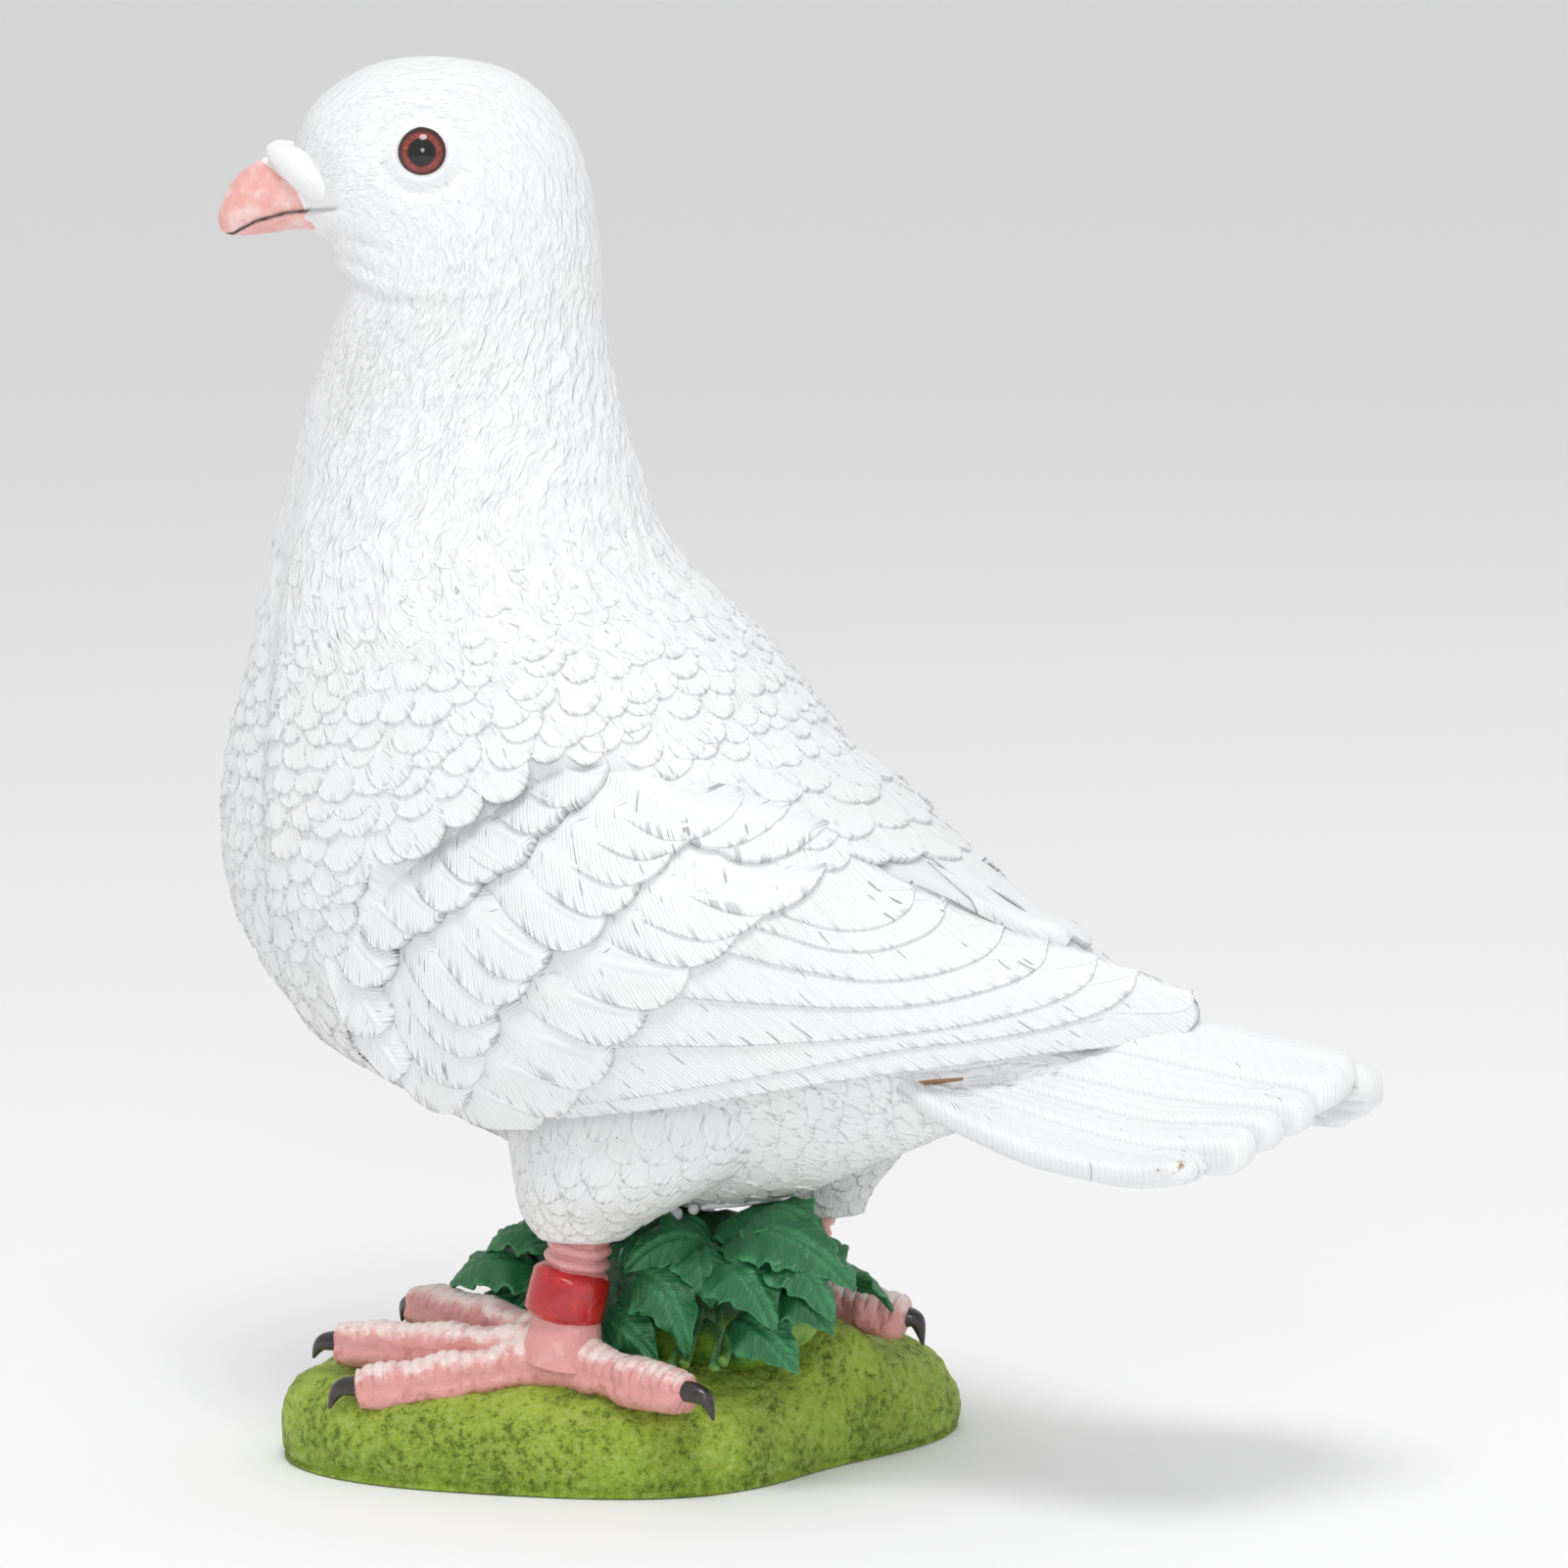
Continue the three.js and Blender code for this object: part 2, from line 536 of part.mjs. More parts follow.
// The clump: a rounded core that reaches from the mound to the belly, with the leaves growing out of it
function leafClump() {
  const core = new THREE.SphereGeometry(1, 10, 7).scale(12.5, 30, 16.5).translate(0, 8, 30);
  const position = core.getAttribute("position");
  const points = Array.from({ length: position.count }, (_, i) =>
    new THREE.Vector3().fromBufferAttribute(position, i),
  );
  return joined([solidFrom(points, trianglesOf(core)), ...LEAVES.map(leafSolid)]);
}

function eyeSolid(side, grow = 0) {
  return ball(Array(3).fill(EYE.radius + grow), [side * EYE.x, EYE.y, EYE.z], 0, 10);
}

const feet = (grow) => [
  footSolid(LEG.left, LEFT_TOES, 0, grow),
  footSolid(LEG.right, RIGHT_TOES, LEG.rightLift, grow),
];
const thighs = (grow) => [
  thighSolid(LEG.left, 0, 27, grow),
  thighSolid(LEG.right, LEG.rightLift, 16, grow),
];

function doveSolid() {
  const trunk = [bodySolid(), beakSolid(), wingSolid(1), wingSolid(-1), tailSolid()];
  const carved = joined([...trunk, ...thighs(0), ...feet(0), legBand()]);
  return carved.subtract(eyeSolid(1, SEAT_GAP)).subtract(eyeSolid(-1, SEAT_GAP));
}

const group = new THREE.Group();

// The triangles of the largest connected body, so that no loose sliver of a cut is left
function largestBody(triangles, count) {
  const parent = Array.from({ length: count }, (_, i) => i);
  const rootOf = (i) => {
    while (parent[i] !== i) i = parent[i] = parent[parent[i]];
    return i;
  };
  for (let i = 0; i < triangles.length; i += 3) {
    parent[rootOf(triangles[i])] = rootOf(triangles[i + 1]);
    parent[rootOf(triangles[i + 1])] = rootOf(triangles[i + 2]);
  }
  const bodies = new Map();
  for (let i = 0; i < triangles.length; i += 3) {
    const root = rootOf(triangles[i]);
    if (!bodies.has(root)) bodies.set(root, []);
    bodies.get(root).push(triangles[i], triangles[i + 1], triangles[i + 2]);
  }
  return [...bodies.values()].sort((a, b) => b.length - a.length)[0];
}

function addPiece(name, solid, look) {
  const { vertProperties, triVerts } = solid.getMesh();
  const geometry = new THREE.BufferGeometry();
  geometry.setAttribute("position", new THREE.BufferAttribute(vertProperties, 3));
  geometry.setIndex(largestBody(triVerts, vertProperties.length / 3));
  geometry.computeVertexNormals();
  const mesh = new THREE.Mesh(geometry, new THREE.MeshStandardMaterial(look));
  mesh.name = name;
  group.add(mesh);
}

addPiece("dove", doveSolid(), { color: 0xf1f1ef, roughness: 0.55, metalness: 0 });
addPiece("left_eye", eyeSolid(1), { color: 0x2a0c0a, roughness: 0.05, metalness: 0 });
addPiece("right_eye", eyeSolid(-1), { color: 0x2a0c0a, roughness: 0.05, metalness: 0 });

const moundCut = feet(SEAT_GAP).reduce((solid, foot) => solid.subtract(foot), moundSolid());
addPiece("grass_mound", moundCut, { color: 0x8fae2c, roughness: 0.8, metalness: 0 });

const bird = [bodySolid(SEAT_GAP), legBand(SEAT_GAP), ...thighs(SEAT_GAP), ...feet(SEAT_GAP)];
const around = [moundSolid(SEAT_GAP), ...bird];
const clumpCut = around.reduce((solid, other) => solid.subtract(other), leafClump());
addPiece("leaf_clump", clumpCut, { color: 0x14603a, roughness: 0.45, metalness: 0 });

export default group;
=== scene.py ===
import bpy
import numpy as np
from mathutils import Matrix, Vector


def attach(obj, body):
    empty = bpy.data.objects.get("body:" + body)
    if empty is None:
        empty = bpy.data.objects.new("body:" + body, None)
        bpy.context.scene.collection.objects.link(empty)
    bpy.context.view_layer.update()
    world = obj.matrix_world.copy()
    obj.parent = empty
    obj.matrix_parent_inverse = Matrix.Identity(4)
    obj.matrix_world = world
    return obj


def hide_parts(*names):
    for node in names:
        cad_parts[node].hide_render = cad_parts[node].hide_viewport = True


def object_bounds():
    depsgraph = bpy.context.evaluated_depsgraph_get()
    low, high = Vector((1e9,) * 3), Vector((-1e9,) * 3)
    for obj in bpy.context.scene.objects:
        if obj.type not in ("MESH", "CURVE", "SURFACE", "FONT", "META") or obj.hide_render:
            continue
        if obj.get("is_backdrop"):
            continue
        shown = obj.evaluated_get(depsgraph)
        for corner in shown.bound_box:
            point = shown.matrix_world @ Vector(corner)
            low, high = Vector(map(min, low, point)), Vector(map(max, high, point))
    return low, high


# A white dove of painted cast resin on a grassy mound. Shapes are worked out in millimetres in the same frame as
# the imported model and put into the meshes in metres. The dove looks towards -Y and its left side is +X.

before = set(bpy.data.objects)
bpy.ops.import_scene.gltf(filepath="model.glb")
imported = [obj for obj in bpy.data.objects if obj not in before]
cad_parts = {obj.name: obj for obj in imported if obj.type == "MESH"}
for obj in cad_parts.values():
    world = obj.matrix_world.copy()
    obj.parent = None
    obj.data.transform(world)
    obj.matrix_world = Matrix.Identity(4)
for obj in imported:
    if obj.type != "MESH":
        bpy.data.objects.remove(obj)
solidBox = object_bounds()
scene = bpy.context.scene
dice = np.random.default_rng(24)

view = {"middle": (0.0, 0.030135, 0.11962), "back": (0.90674, 0.40370, 0.12187), "distance": 1.3, "lens": 173.9}
light = {"key": 11.0, "front": 1.8, "rim": 1.2, "sky": 0.70, "floor": (0.95, 0.95, 0.955, 1)}


# 0 below low, 1 above high, and 3t^2 - 2t^3 between
def smooth(value, low, high):
    t = np.clip((value - low) / (high - low), 0, 1)
    return t * t * (3 - 2 * t)


def mixed(a, b, t):
    return a + (b - a) * t


# Value at t (0 to 1) of the cubic curve that runs through equally spaced samples, its slope at each sample being half
# the step between that sample's neighbours
def through(samples, t):
    samples = np.asarray(samples, float)
    last = len(samples) - 1
    place = np.clip(np.asarray(t, float), 0, 1) * last
    start = np.minimum(place.astype(int), last - 1)
    w = place - start
    if samples.ndim > 1:
        w = w[..., None]
    before, a, b, after = (samples[np.clip(start + k, 0, last)] for k in (-1, 0, 1, 2))
    slopeA, slopeB = (b - before) / 2, (after - a) / 2
    return a + w * (slopeA + w * (3 * (b - a) - 2 * slopeA - slopeB + w * (2 * (a - b) + slopeA + slopeB)))


# Random field from -1 to 1: scrambled whole-number corners of a lattice, blended smoothly inside each cell
def cloud(points, pitch, seed):
    place = np.asarray(points, float) / pitch + 512.0
    cell = np.floor(place).astype(np.int64)
    share = place - cell
    share = share * share * (3 - 2 * share)
    total = np.zeros(place.shape[:-1])
    for corner in np.ndindex(2, 2, 2):
        key = (cell + corner) * np.array([73856093, 19349663, 83492791])
        key = key[..., 0] ^ key[..., 1] ^ key[..., 2] ^ (seed * 7919 + 13)
        key = (key ^ (key >> 13)) * 1274126177
        value = ((key >> 7) & 0xFFFF) / 32767.5 - 1
        total += value * np.prod(np.where(corner, share, 1 - share), axis=-1)
    return total


def unit(vectors):
    return vectors / np.maximum(np.linalg.norm(vectors, axis=-1, keepdims=True), 1e-9)


def dot(a, b):
    return np.sum(a * b, axis=-1)


# Distance walked along a chain of points up to each of them
def walked(points):
    return np.concatenate([[0], np.cumsum(np.linalg.norm(np.diff(points, axis=0), axis=1))])


# Four-cornered faces of a grid of rows x columns points, counter-clockwise from row direction to column direction
def gridFaces(rows, columns, wrap=False):
    across = columns if wrap else columns - 1
    i, j = np.meshgrid(np.arange(rows - 1), np.arange(across), indexing="ij")
    k = (j + 1) % columns
    return np.stack([i * columns + j, (i + 1) * columns + j, (i + 1) * columns + k, i * columns + k], -1).reshape(-1, 4)


# Numbers of a grid's outermost points, once round from the first row
def rimLoop(rows, columns):
    border = np.arange(rows * columns).reshape(rows, columns)
    return np.concatenate([border[0, :-1], border[:-1, -1], border[-1, :0:-1], border[:0:-1, 0]])


# Faces of closed rings of points that are followed by one point for each end. over says that a row crossed with a
# column points outwards.
def ringFaces(rows, sides, over=True):
    j = np.arange(sides)
    k = (j + 1) % sides
    total, last = rows * sides, (rows - 1) * sides
    first = np.stack([np.full(sides, total), j, k], -1)
    final = np.stack([np.full(sides, total + 1), last + k, last + j], -1)
    groups = [gridFaces(rows, sides, wrap=True), first, final]
    return groups if over else [group[:, ::-1] for group in groups]


# Angles from the pole and round it for the rings of a ball, without its poles
def ballAngles(rings, sides):
    polar = np.linspace(0, np.pi, rings + 2)[1:-1]
    return np.meshgrid(polar, np.linspace(0, 2 * np.pi, sides, endpoint=False), indexing="ij")


# Points gathered from many surfaces, which become one mesh. stroke is (across the barbs, along them, chance offset)
# in millimetres. finish is (stroke depth, painted shade in recesses, stain where above 0 and ragged edge where below).
# The materials read both.
class Pile:
    def __init__(self):
        self.points, self.faces, self.stroke, self.finish, self.looks = [], [], [], [], []
        self.count = 0

    def add(self, points, faces, stroke=None, finish=None, look=0):
        points = np.asarray(points, float).reshape(-1, 3)
        blank = np.zeros((len(points), 3))
        self.points.append(points)
        self.stroke.append(blank if stroke is None else np.asarray(stroke, float).reshape(-1, 3))
        self.finish.append(blank if finish is None else np.asarray(finish, float).reshape(-1, 3))
        for group in faces if isinstance(faces, list) else [faces]:
            self.faces.append(group + self.count)
            self.looks.append(np.full(len(group), look))
        self.count += len(points)

    # A slab: an upper and a lower grid of points joined round the rim. over says that a row crossed with a column
    # points out of the upper one.
    def slab(self, upper, lower, stroke, finish, below=None, over=True):
        rows, columns = upper.shape[:2]
        total = rows * columns
        face, loop = gridFaces(rows, columns), rimLoop(rows, columns)
        after = np.roll(loop, -1)
        groups = [face, face[:, ::-1] + total, np.stack([loop, after, after + total, loop + total], -1)]
        if not over:
            groups = [group[:, ::-1] for group in groups]
        finish = np.broadcast_to(finish, upper.shape)
        marks = np.stack([finish, finish if below is None else below])
        self.add(np.stack([upper, lower]), groups, np.stack([stroke, stroke]), marks)

    def make(self, name, node, materials):
        points = np.concatenate(self.points) * 0.001
        mesh = bpy.data.meshes.new(name)
        totals = np.concatenate([np.full(len(group), group.shape[1]) for group in self.faces])
        loops = np.concatenate([group.ravel() for group in self.faces])
        mesh.vertices.add(len(points))
        mesh.vertices.foreach_set("co", points.ravel())
        mesh.loops.add(len(loops))
        mesh.loops.foreach_set("vertex_index", loops.astype(np.int32))
        mesh.polygons.add(len(totals))
        mesh.polygons.foreach_set("loop_start", np.concatenate([[0], np.cumsum(totals)[:-1]]).astype(np.int32))
        mesh.polygons.foreach_set("material_index", np.concatenate(self.looks).astype(np.int32))
        mesh.polygons.foreach_set("use_smooth", np.ones(len(totals), bool))
        mesh.update(calc_edges=True)
        for key, values in (("stroke", self.stroke), ("finish", self.finish)):
            layer = mesh.attributes.new(key, "FLOAT_VECTOR", "POINT")
            layer.data.foreach_set("vector", np.concatenate(values).ravel().astype(np.float32))
        mesh.validate()
        for material in materials:
            mesh.materials.append(material)
        piece = bpy.data.objects.new(name, mesh)
        scene.collection.objects.link(piece)
        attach(piece, "root")
        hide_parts(node)
        mesh.calc_loop_triangles()
        print(f"{name}: {len(mesh.loop_triangles)} triangles")
        return piece


# A surface given by a function of two numbers, with its slopes from small steps and its outward side
class Surface:
    def __init__(self, point, steps, outward=1):
        self.point, self.steps, self.outward = point, steps, outward

    def slopes(self, u, v):
        du, dv = self.steps
        return (
            (self.point(u + du, v) - self.point(u - du, v)) / (2 * du),
            (self.point(u, v + dv) - self.point(u, v - dv)) / (2 * dv),
        )

    def normal(self, u, v):
        alongU, alongV = self.slopes(u, v)
        return unit(np.cross(alongU, alongV)) * self.outward

    def raised(self, u, v, height):
        return self.point(u, v) + self.normal(u, v) * np.asarray(height)[..., None]

    # Parameters of the points that lie along and across millimetres from (u, v), where along is measured in the
    # direction of growing u turned by heading: the offset is split over the two slopes by least squares
    def near(self, u, v, heading, along, across):
        alongU, alongV = self.slopes(u, v)
        out = unit(np.cross(alongU, alongV)) * self.outward
        forward = unit(alongU)
        aside = np.cross(out, forward)
        turn = heading[..., None]
        first = forward * np.cos(turn) + aside * np.sin(turn)
        second = np.cross(out, first)
        grow = lambda vector: vector[:, None, None, :]
        offset = grow(first) * along[..., None] + grow(second) * across[..., None]
        uu, uv, vv = dot(alongU, alongU), dot(alongU, alongV), dot(alongV, alongV)
        det = (uu * vv - uv * uv)[:, None, None]
        su, sv = dot(offset, grow(alongU)), dot(offset, grow(alongV))
        uu, uv, vv = uu[:, None, None], uv[:, None, None], vv[:, None, None]
        return u[:, None, None] + (vv * su - uv * sv) / det, v[:, None, None] + (uu * sv - uv * su) / det


# Frame of a feather shell: shares along (0 root, 1 tip) and across (-1 to 1) of its grid, with one more row past the
# tip and one more column on each side that fold down into the skin
def shellGrid(rows, columns):
    along = np.concatenate([1 - (1 - np.linspace(0, 1, rows)) ** 2.1, [1.0]])
    across = np.sin(np.radians(np.concatenate([[-90], np.linspace(-90, 90, columns), [90]])))
    s, c = np.meshgrid(along, across, indexing="ij")
    skirt = np.zeros(s.shape, bool)
    skirt[-1, :] = skirt[:, 0] = skirt[:, -1] = True
    return s, c, skirt, gridFaces(*s.shape), rimLoop(*s.shape)[None, :]


# Many small feathers on a surface. Across position is width x c, along position is length x s x (1 - tip x (1 -
# sqrt(1 - c^2))), so that the end is half an ellipse. The height climbs from the root to the tip, swells along the
# middle, and drops below the skin round the rim.
def smallFeathers(pile, surface, u, v, heading, length, width, lift, plan):
    s, c, skirt, faces, loop = shellGrid(plan["rows"], plan["columns"])
    count = len(u)
    size = lambda values: np.broadcast_to(np.asarray(values, float), (count,))[:, None, None]
    length, width, lift = size(length), size(width), size(lift)
    inset = np.where(skirt, plan["inset"], 0)
    pulled = 1 - np.sqrt(np.maximum(0, 1 - c * c))
    along = length * s * (1 - plan["tip"] * pulled) - inset * (s > 0.99)
    across = (width * (0.72 + 0.28 * np.minimum(1, 1.6 * s)) - inset) * c
    nearU, nearV = surface.near(u, v, heading, along - length * plan["rooted"], across)
    swell = plan["swell"] * (1 - c * c) * s
    height = mixed(-plan["sink"], lift, s**0.8) + swell * np.minimum(1, width / 3)
    height = np.where(skirt, -plan["sink"], height)
    points = surface.raised(nearU, nearV, height)
    pivot = 0.55 * length
    angle = np.arctan2(across, along + pivot)
    chance = dice.uniform(0, 90, (count, 1, 1))
    stroke = np.stack([angle * (length + pivot) * 0.8, along, chance + 0 * along], -1)
    depth = plan["depth"] * smooth(s, 0.1, 0.6)
    # painted shade on the rim that folds into the skin and at the root, where the feather runs under its neighbours
    recessShade = 0.5 * skirt + 0.15 * (1 - smooth(s, 0.05, 0.35))
    fringe = 0.7 * smooth(s * length, length - 1.6, length)
    finish = np.stack(np.broadcast_arrays(depth + 0 * along, recessShade, -fringe), -1)
    start = (np.arange(count) * s.size)[:, None, None]
    pile.add(points, [(faces + start).reshape(-1, 4), (loop + start).reshape(-1, loop.shape[1])], stroke, finish)


# A tube about a curved path: centre from the curve through path, circle of the given radii in the plane square to the
# path, closed by a point at each end. dent(along, angle, t) is added to the radius, and finish gives its marks.
def tube(pile, path, radii, rings, sides, dent=None, look=0, finish=None):
    t = np.linspace(0, 1, rings)
    centre = through(path, t)
    heading = unit(np.gradient(centre, axis=0))
    up = np.array([0.0, 0.0, 1.0]) if abs(heading[0, 2]) < 0.8 else np.array([0.0, 1.0, 0.0])
    aside = unit(np.cross(heading, up))
    over = np.cross(aside, heading)
    angle = np.linspace(0, 2 * np.pi, sides, endpoint=False)
    radius = through(radii, t)[:, None] * np.ones(sides)
    step = walked(centre)
    if dent is not None:
        radius = radius + dent(step[:, None], angle[None, :], t[:, None])
    ring = aside[:, None] * np.cos(angle)[None, :, None] + over[:, None] * np.sin(angle)[None, :, None]
    points = centre[:, None] + ring * radius[..., None]
    ends = [centre[0] - heading[0] * 0.3 * radius[0, 0], centre[-1] + heading[-1] * 0.35 * radius[-1, 0]]
    along = np.broadcast_to(step[:, None], radius.shape)
    stroke = np.stack([along, radius * np.sin(angle), radius * np.cos(angle)], -1).reshape(-1, 3)
    stroke = np.concatenate([stroke, [[0, 0, 0], [step[-1], 0, 0]]])
    marks = np.zeros_like(stroke)
    if finish is not None:
        marks = np.stack(finish(along, angle + 0 * radius, t[:, None] + 0 * radius), -1).reshape(-1, 3)
        marks = np.concatenate([marks, marks[:1], marks[-1:]])
    pile.add(np.concatenate([points.reshape(-1, 3), ends]), ringFaces(rings, sides), stroke, marks, look)


# One socket of a material. Sums, products and the like of sockets and numbers add their Math nodes.
class Value:
    def __init__(self, paint, socket):
        self.paint, self.socket = paint, socket

    def maths(self, operation, other=None, swap=False):
        inputs = {0: self} if other is None else {int(swap): self, int(not swap): other}
        return self.paint.node("ShaderNodeMath", {"operation": operation}, inputs)

    def __add__(self, other): return self.maths("ADD", other)
    def __radd__(self, other): return self.maths("ADD", other, True)
    def __sub__(self, other): return self.maths("SUBTRACT", other)
    def __rsub__(self, other): return self.maths("SUBTRACT", other, True)
    def __mul__(self, other): return self.maths("MULTIPLY", other)
    def __rmul__(self, other): return self.maths("MULTIPLY", other, True)
    def __truediv__(self, other): return self.maths("DIVIDE", other)
    def __rtruediv__(self, other): return self.maths("DIVIDE", other, True)


# One material: node() adds any node, with its settings first and then the values or links of its sockets
class Paint:
    def __init__(self, name):
        self.material = bpy.data.materials.new(name)
        self.material.use_nodes = True
        self.tree = self.material.node_tree
        self.tree.nodes.clear()

    def node(self, kind, settings=None, inputs=None, output=0):
        made = self.tree.nodes.new(kind)
        for key, value in (settings or {}).items():
            setattr(made, key, value)
        for key, value in (inputs or {}).items():
            if isinstance(value, Value):
                self.tree.links.new(value.socket, made.inputs[key])
            else:
                made.inputs[key].default_value = value
        return Value(self, made.outputs[output]) if made.outputs else None

    def attribute(self, name):
        read = self.node("ShaderNodeAttribute", {"attribute_name": name}, {}, 1)
        split = self.node("ShaderNodeSeparateXYZ", {}, {0: read})
        return [Value(self, split.socket.node.outputs[k]) for k in range(3)]

    def place(self):
        return self.node("ShaderNodeTexCoord", {}, {}, 3)

    def joined(self, x, y, z):
        return self.node("ShaderNodeCombineXYZ", {}, {0: x, 1: y, 2: z})

    def noise(self, vector, scale, detail=2.0, rough=0.5):
        values = {"Vector": vector, "Scale": scale, "Detail": detail, "Roughness": rough}
        return self.node("ShaderNodeTexNoise", {}, values)

    # Noise stretched along the strokes, finer across them than along
    def streaks(self, across, along, offset, detail, rough=0.5):
        return self.noise(self.joined(across, along, offset), 1.0, detail, rough)

    def between(self, value, low, high):
        return self.node("ShaderNodeMapRange", {"interpolation_type": "SMOOTHSTEP"}, {0: value, 1: low, 2: high})

    def blend(self, factor, a, b):
        return self.node("ShaderNodeMix", {"data_type": "RGBA"}, {0: factor, 6: a, 7: b}, 2)

    def finish(self, height, depth, inputs):
        normal = self.node("ShaderNodeBump", {}, {"Strength": 1.0, "Distance": depth * 0.001, "Height": height})
        surface = self.node("ShaderNodeBsdfPrincipled", {}, {**inputs, "Normal": normal})
        self.node("ShaderNodeOutputMaterial", {}, {0: surface})
        return self.material


# White paint over sculpted feathers. The barbs are a wave across the stroke direction broken up by stretched noise.
# recessShade is the grey of the painted shade in recesses, splits, ragged notches and the mouth groove
whitePaint = {
    "white": (0.865, 0.872, 0.885, 1), "recessShade": (0.34, 0.35, 0.37, 1), "warm": (0.86, 0.862, 0.855, 1),
    "stain": (0.36, 0.20, 0.10, 1), "pitch": 0.66, "barbDepth": 0.30,
    "waviness": 4.0, "downDepth": 0.42,
}


def whiteFeathers():
    kit = whitePaint
    paint = Paint("white_feathers")
    across, along, chance = paint.attribute("stroke")
    depth, recessShade, edge = paint.attribute("finish")
    stain = edge.maths("MAXIMUM", 0.0)
    fringe = stain - edge
    wander = paint.streaks(across * 0.5, along * 0.22, chance, 2.0)
    wave = ((across + wander * 0.7) * (6.2832 / kit["pitch"])).maths("SINE")
    strokes = paint.streaks(across * 1.5, along * 0.16, chance, 3.0, 0.6)
    breaks = paint.streaks(across * 1.9, along * 0.16, chance + 7.0, 1.0)
    split = paint.between(breaks, 0.735, 0.765)
    place = paint.place()
    grain = paint.noise(place, 1400.0, 3.0)
    swell = paint.noise(place, 160.0, 2.0)
    notches = paint.between(paint.streaks(across * 1.7, along * 0.08, chance + 3.0, 2.0), 0.54, 0.62)
    barbs = (wave * 0.15 + strokes * 0.6) * depth
    height = barbs - split * depth * 0.6 - fringe * notches * 0.5 + grain * 0.08 + swell * 0.10
    worn = paint.between(paint.noise(place, 60.0, 3.0), 0.35, 0.7)
    colour = paint.blend(worn * 0.5, kit["white"], kit["warm"])
    # painted shade: grey laid into the recesses, the splits of the vane and the notches of the ragged edge
    paintedShade = recessShade * 0.55 + split * depth * 0.8 + fringe * notches * 0.55
    colour = paint.blend(paintedShade, colour, kit["recessShade"])
    speck = paint.between(paint.noise(place, 520.0, 4.0, 0.7) + stain * 0.12, 0.70, 0.75)
    colour = paint.blend(stain * speck, colour, kit["stain"])
    rough = 0.42 + grain * 0.2
    return paint.finish(height, kit["barbDepth"], {"Base Color": colour, "Roughness": rough})


# White paint over combed down: short wavy strokes from stretched noise, whose lines are bent by another noise
def whiteDown():
    kit = whitePaint
    paint = Paint("white_down")
    across, along, _ = paint.attribute("stroke")
    depth, recessShade, _ = paint.attribute("finish")
    place = paint.place()
    drift = across + (paint.noise(place, 120.0, 2.0) - 0.5) * kit["waviness"]
    hairs = paint.streaks(drift * 0.78, along * 0.2, 0.0, 2.0, 0.6)
    fine = paint.streaks(drift * 2.5, along * 0.5, 3.0, 2.0)
    breaks = paint.streaks(drift * 1.2, along * 0.3, 11.0, 1.0)
    split = paint.between(breaks, 0.76, 0.79)
    ridge = paint.between(hairs, 0.32, 0.66)
    grain = paint.noise(place, 1400.0, 3.0)
    worn = paint.between(paint.noise(place, 60.0, 3.0), 0.35, 0.7)
    colour = paint.blend(worn * 0.5, kit["white"], kit["warm"])
    # painted shade: grey in the recesses and the mouth groove, in the low places between the hair strokes and in the
    # splits
    low = (1.0 - paint.between(hairs, 0.28, 0.46)) * depth
    colour = paint.blend(recessShade * 0.6 + low * 0.16 + split * depth * 0.5, colour, kit["recessShade"])
    height = (ridge + fine * 0.3 - split * 0.6) * depth + grain * 0.06
    return paint.finish(height, kit["downDepth"], {"Base Color": colour, "Roughness": 0.44 + grain * 0.2})


# mouth is the near-black painted shade laid into the mouth groove
beakPaint = {
    "pink": (0.83, 0.41, 0.37, 1), "pale": (0.88, 0.64, 0.61, 1), "white": (0.87, 0.872, 0.868, 1),
    "mouth": (0.035, 0.015, 0.015, 1),
}


# finish holds (pink paint, painted shade along the mouth groove, unused)
def beakLook():
    kit = beakPaint
    paint = Paint("beak_paint")
    pink, mouth, _ = paint.attribute("finish")
    place = paint.place()
    patch = paint.noise(place, 210.0, 4.0, 0.6)
    grain = paint.noise(place, 1500.0, 2.0)
    tint = paint.blend(paint.between(patch, 0.4, 0.66), kit["pink"], kit["pale"])
    border = paint.between(pink + (patch - 0.5) * 0.5, 0.42, 0.58)
    colour = paint.blend(border, kit["white"], tint)
    # painted shade: the mouth groove turns near-black
    colour = paint.blend(mouth, colour, kit["mouth"])
    height = patch * 0.8 + grain * 0.3
    return paint.finish(height, 0.4, {"Base Color": colour, "Roughness": 0.36 + patch * 0.16})


skinPaint = {
    "pink": (0.74, 0.33, 0.31, 1), "deep": (0.48, 0.15, 0.14, 1), "paleTint": (0.86, 0.72, 0.68, 1),
}


# Skin of the legs and toes. finish holds (top of a scute, crease, share of a paler pink that grows towards the upper
# side).
def legSkin():
    kit = skinPaint
    paint = Paint("pink_skin")
    top, crease, paleTint = paint.attribute("finish")
    place = paint.place()
    patch = paint.noise(place, 330.0, 4.0, 0.65)
    grain = paint.noise(place, 1100.0, 3.0)
    colour = paint.blend(crease * 0.7, kit["pink"], kit["deep"])
    # paler pink in patches on the scute tops, more towards the upper side
    paleMask = paint.between(paleTint * 0.6 + patch * 1.1, 0.82, 1.2) * top
    colour = paint.blend(paleMask, colour, kit["paleTint"])
    height = grain * 0.3 + patch * 1.2 - crease * 0.5
    return paint.finish(height, 0.5, {
        "Base Color": colour, "Roughness": 0.3 + patch * 0.2, "Coat Weight": 0.35, "Coat Roughness": 0.15,
    })


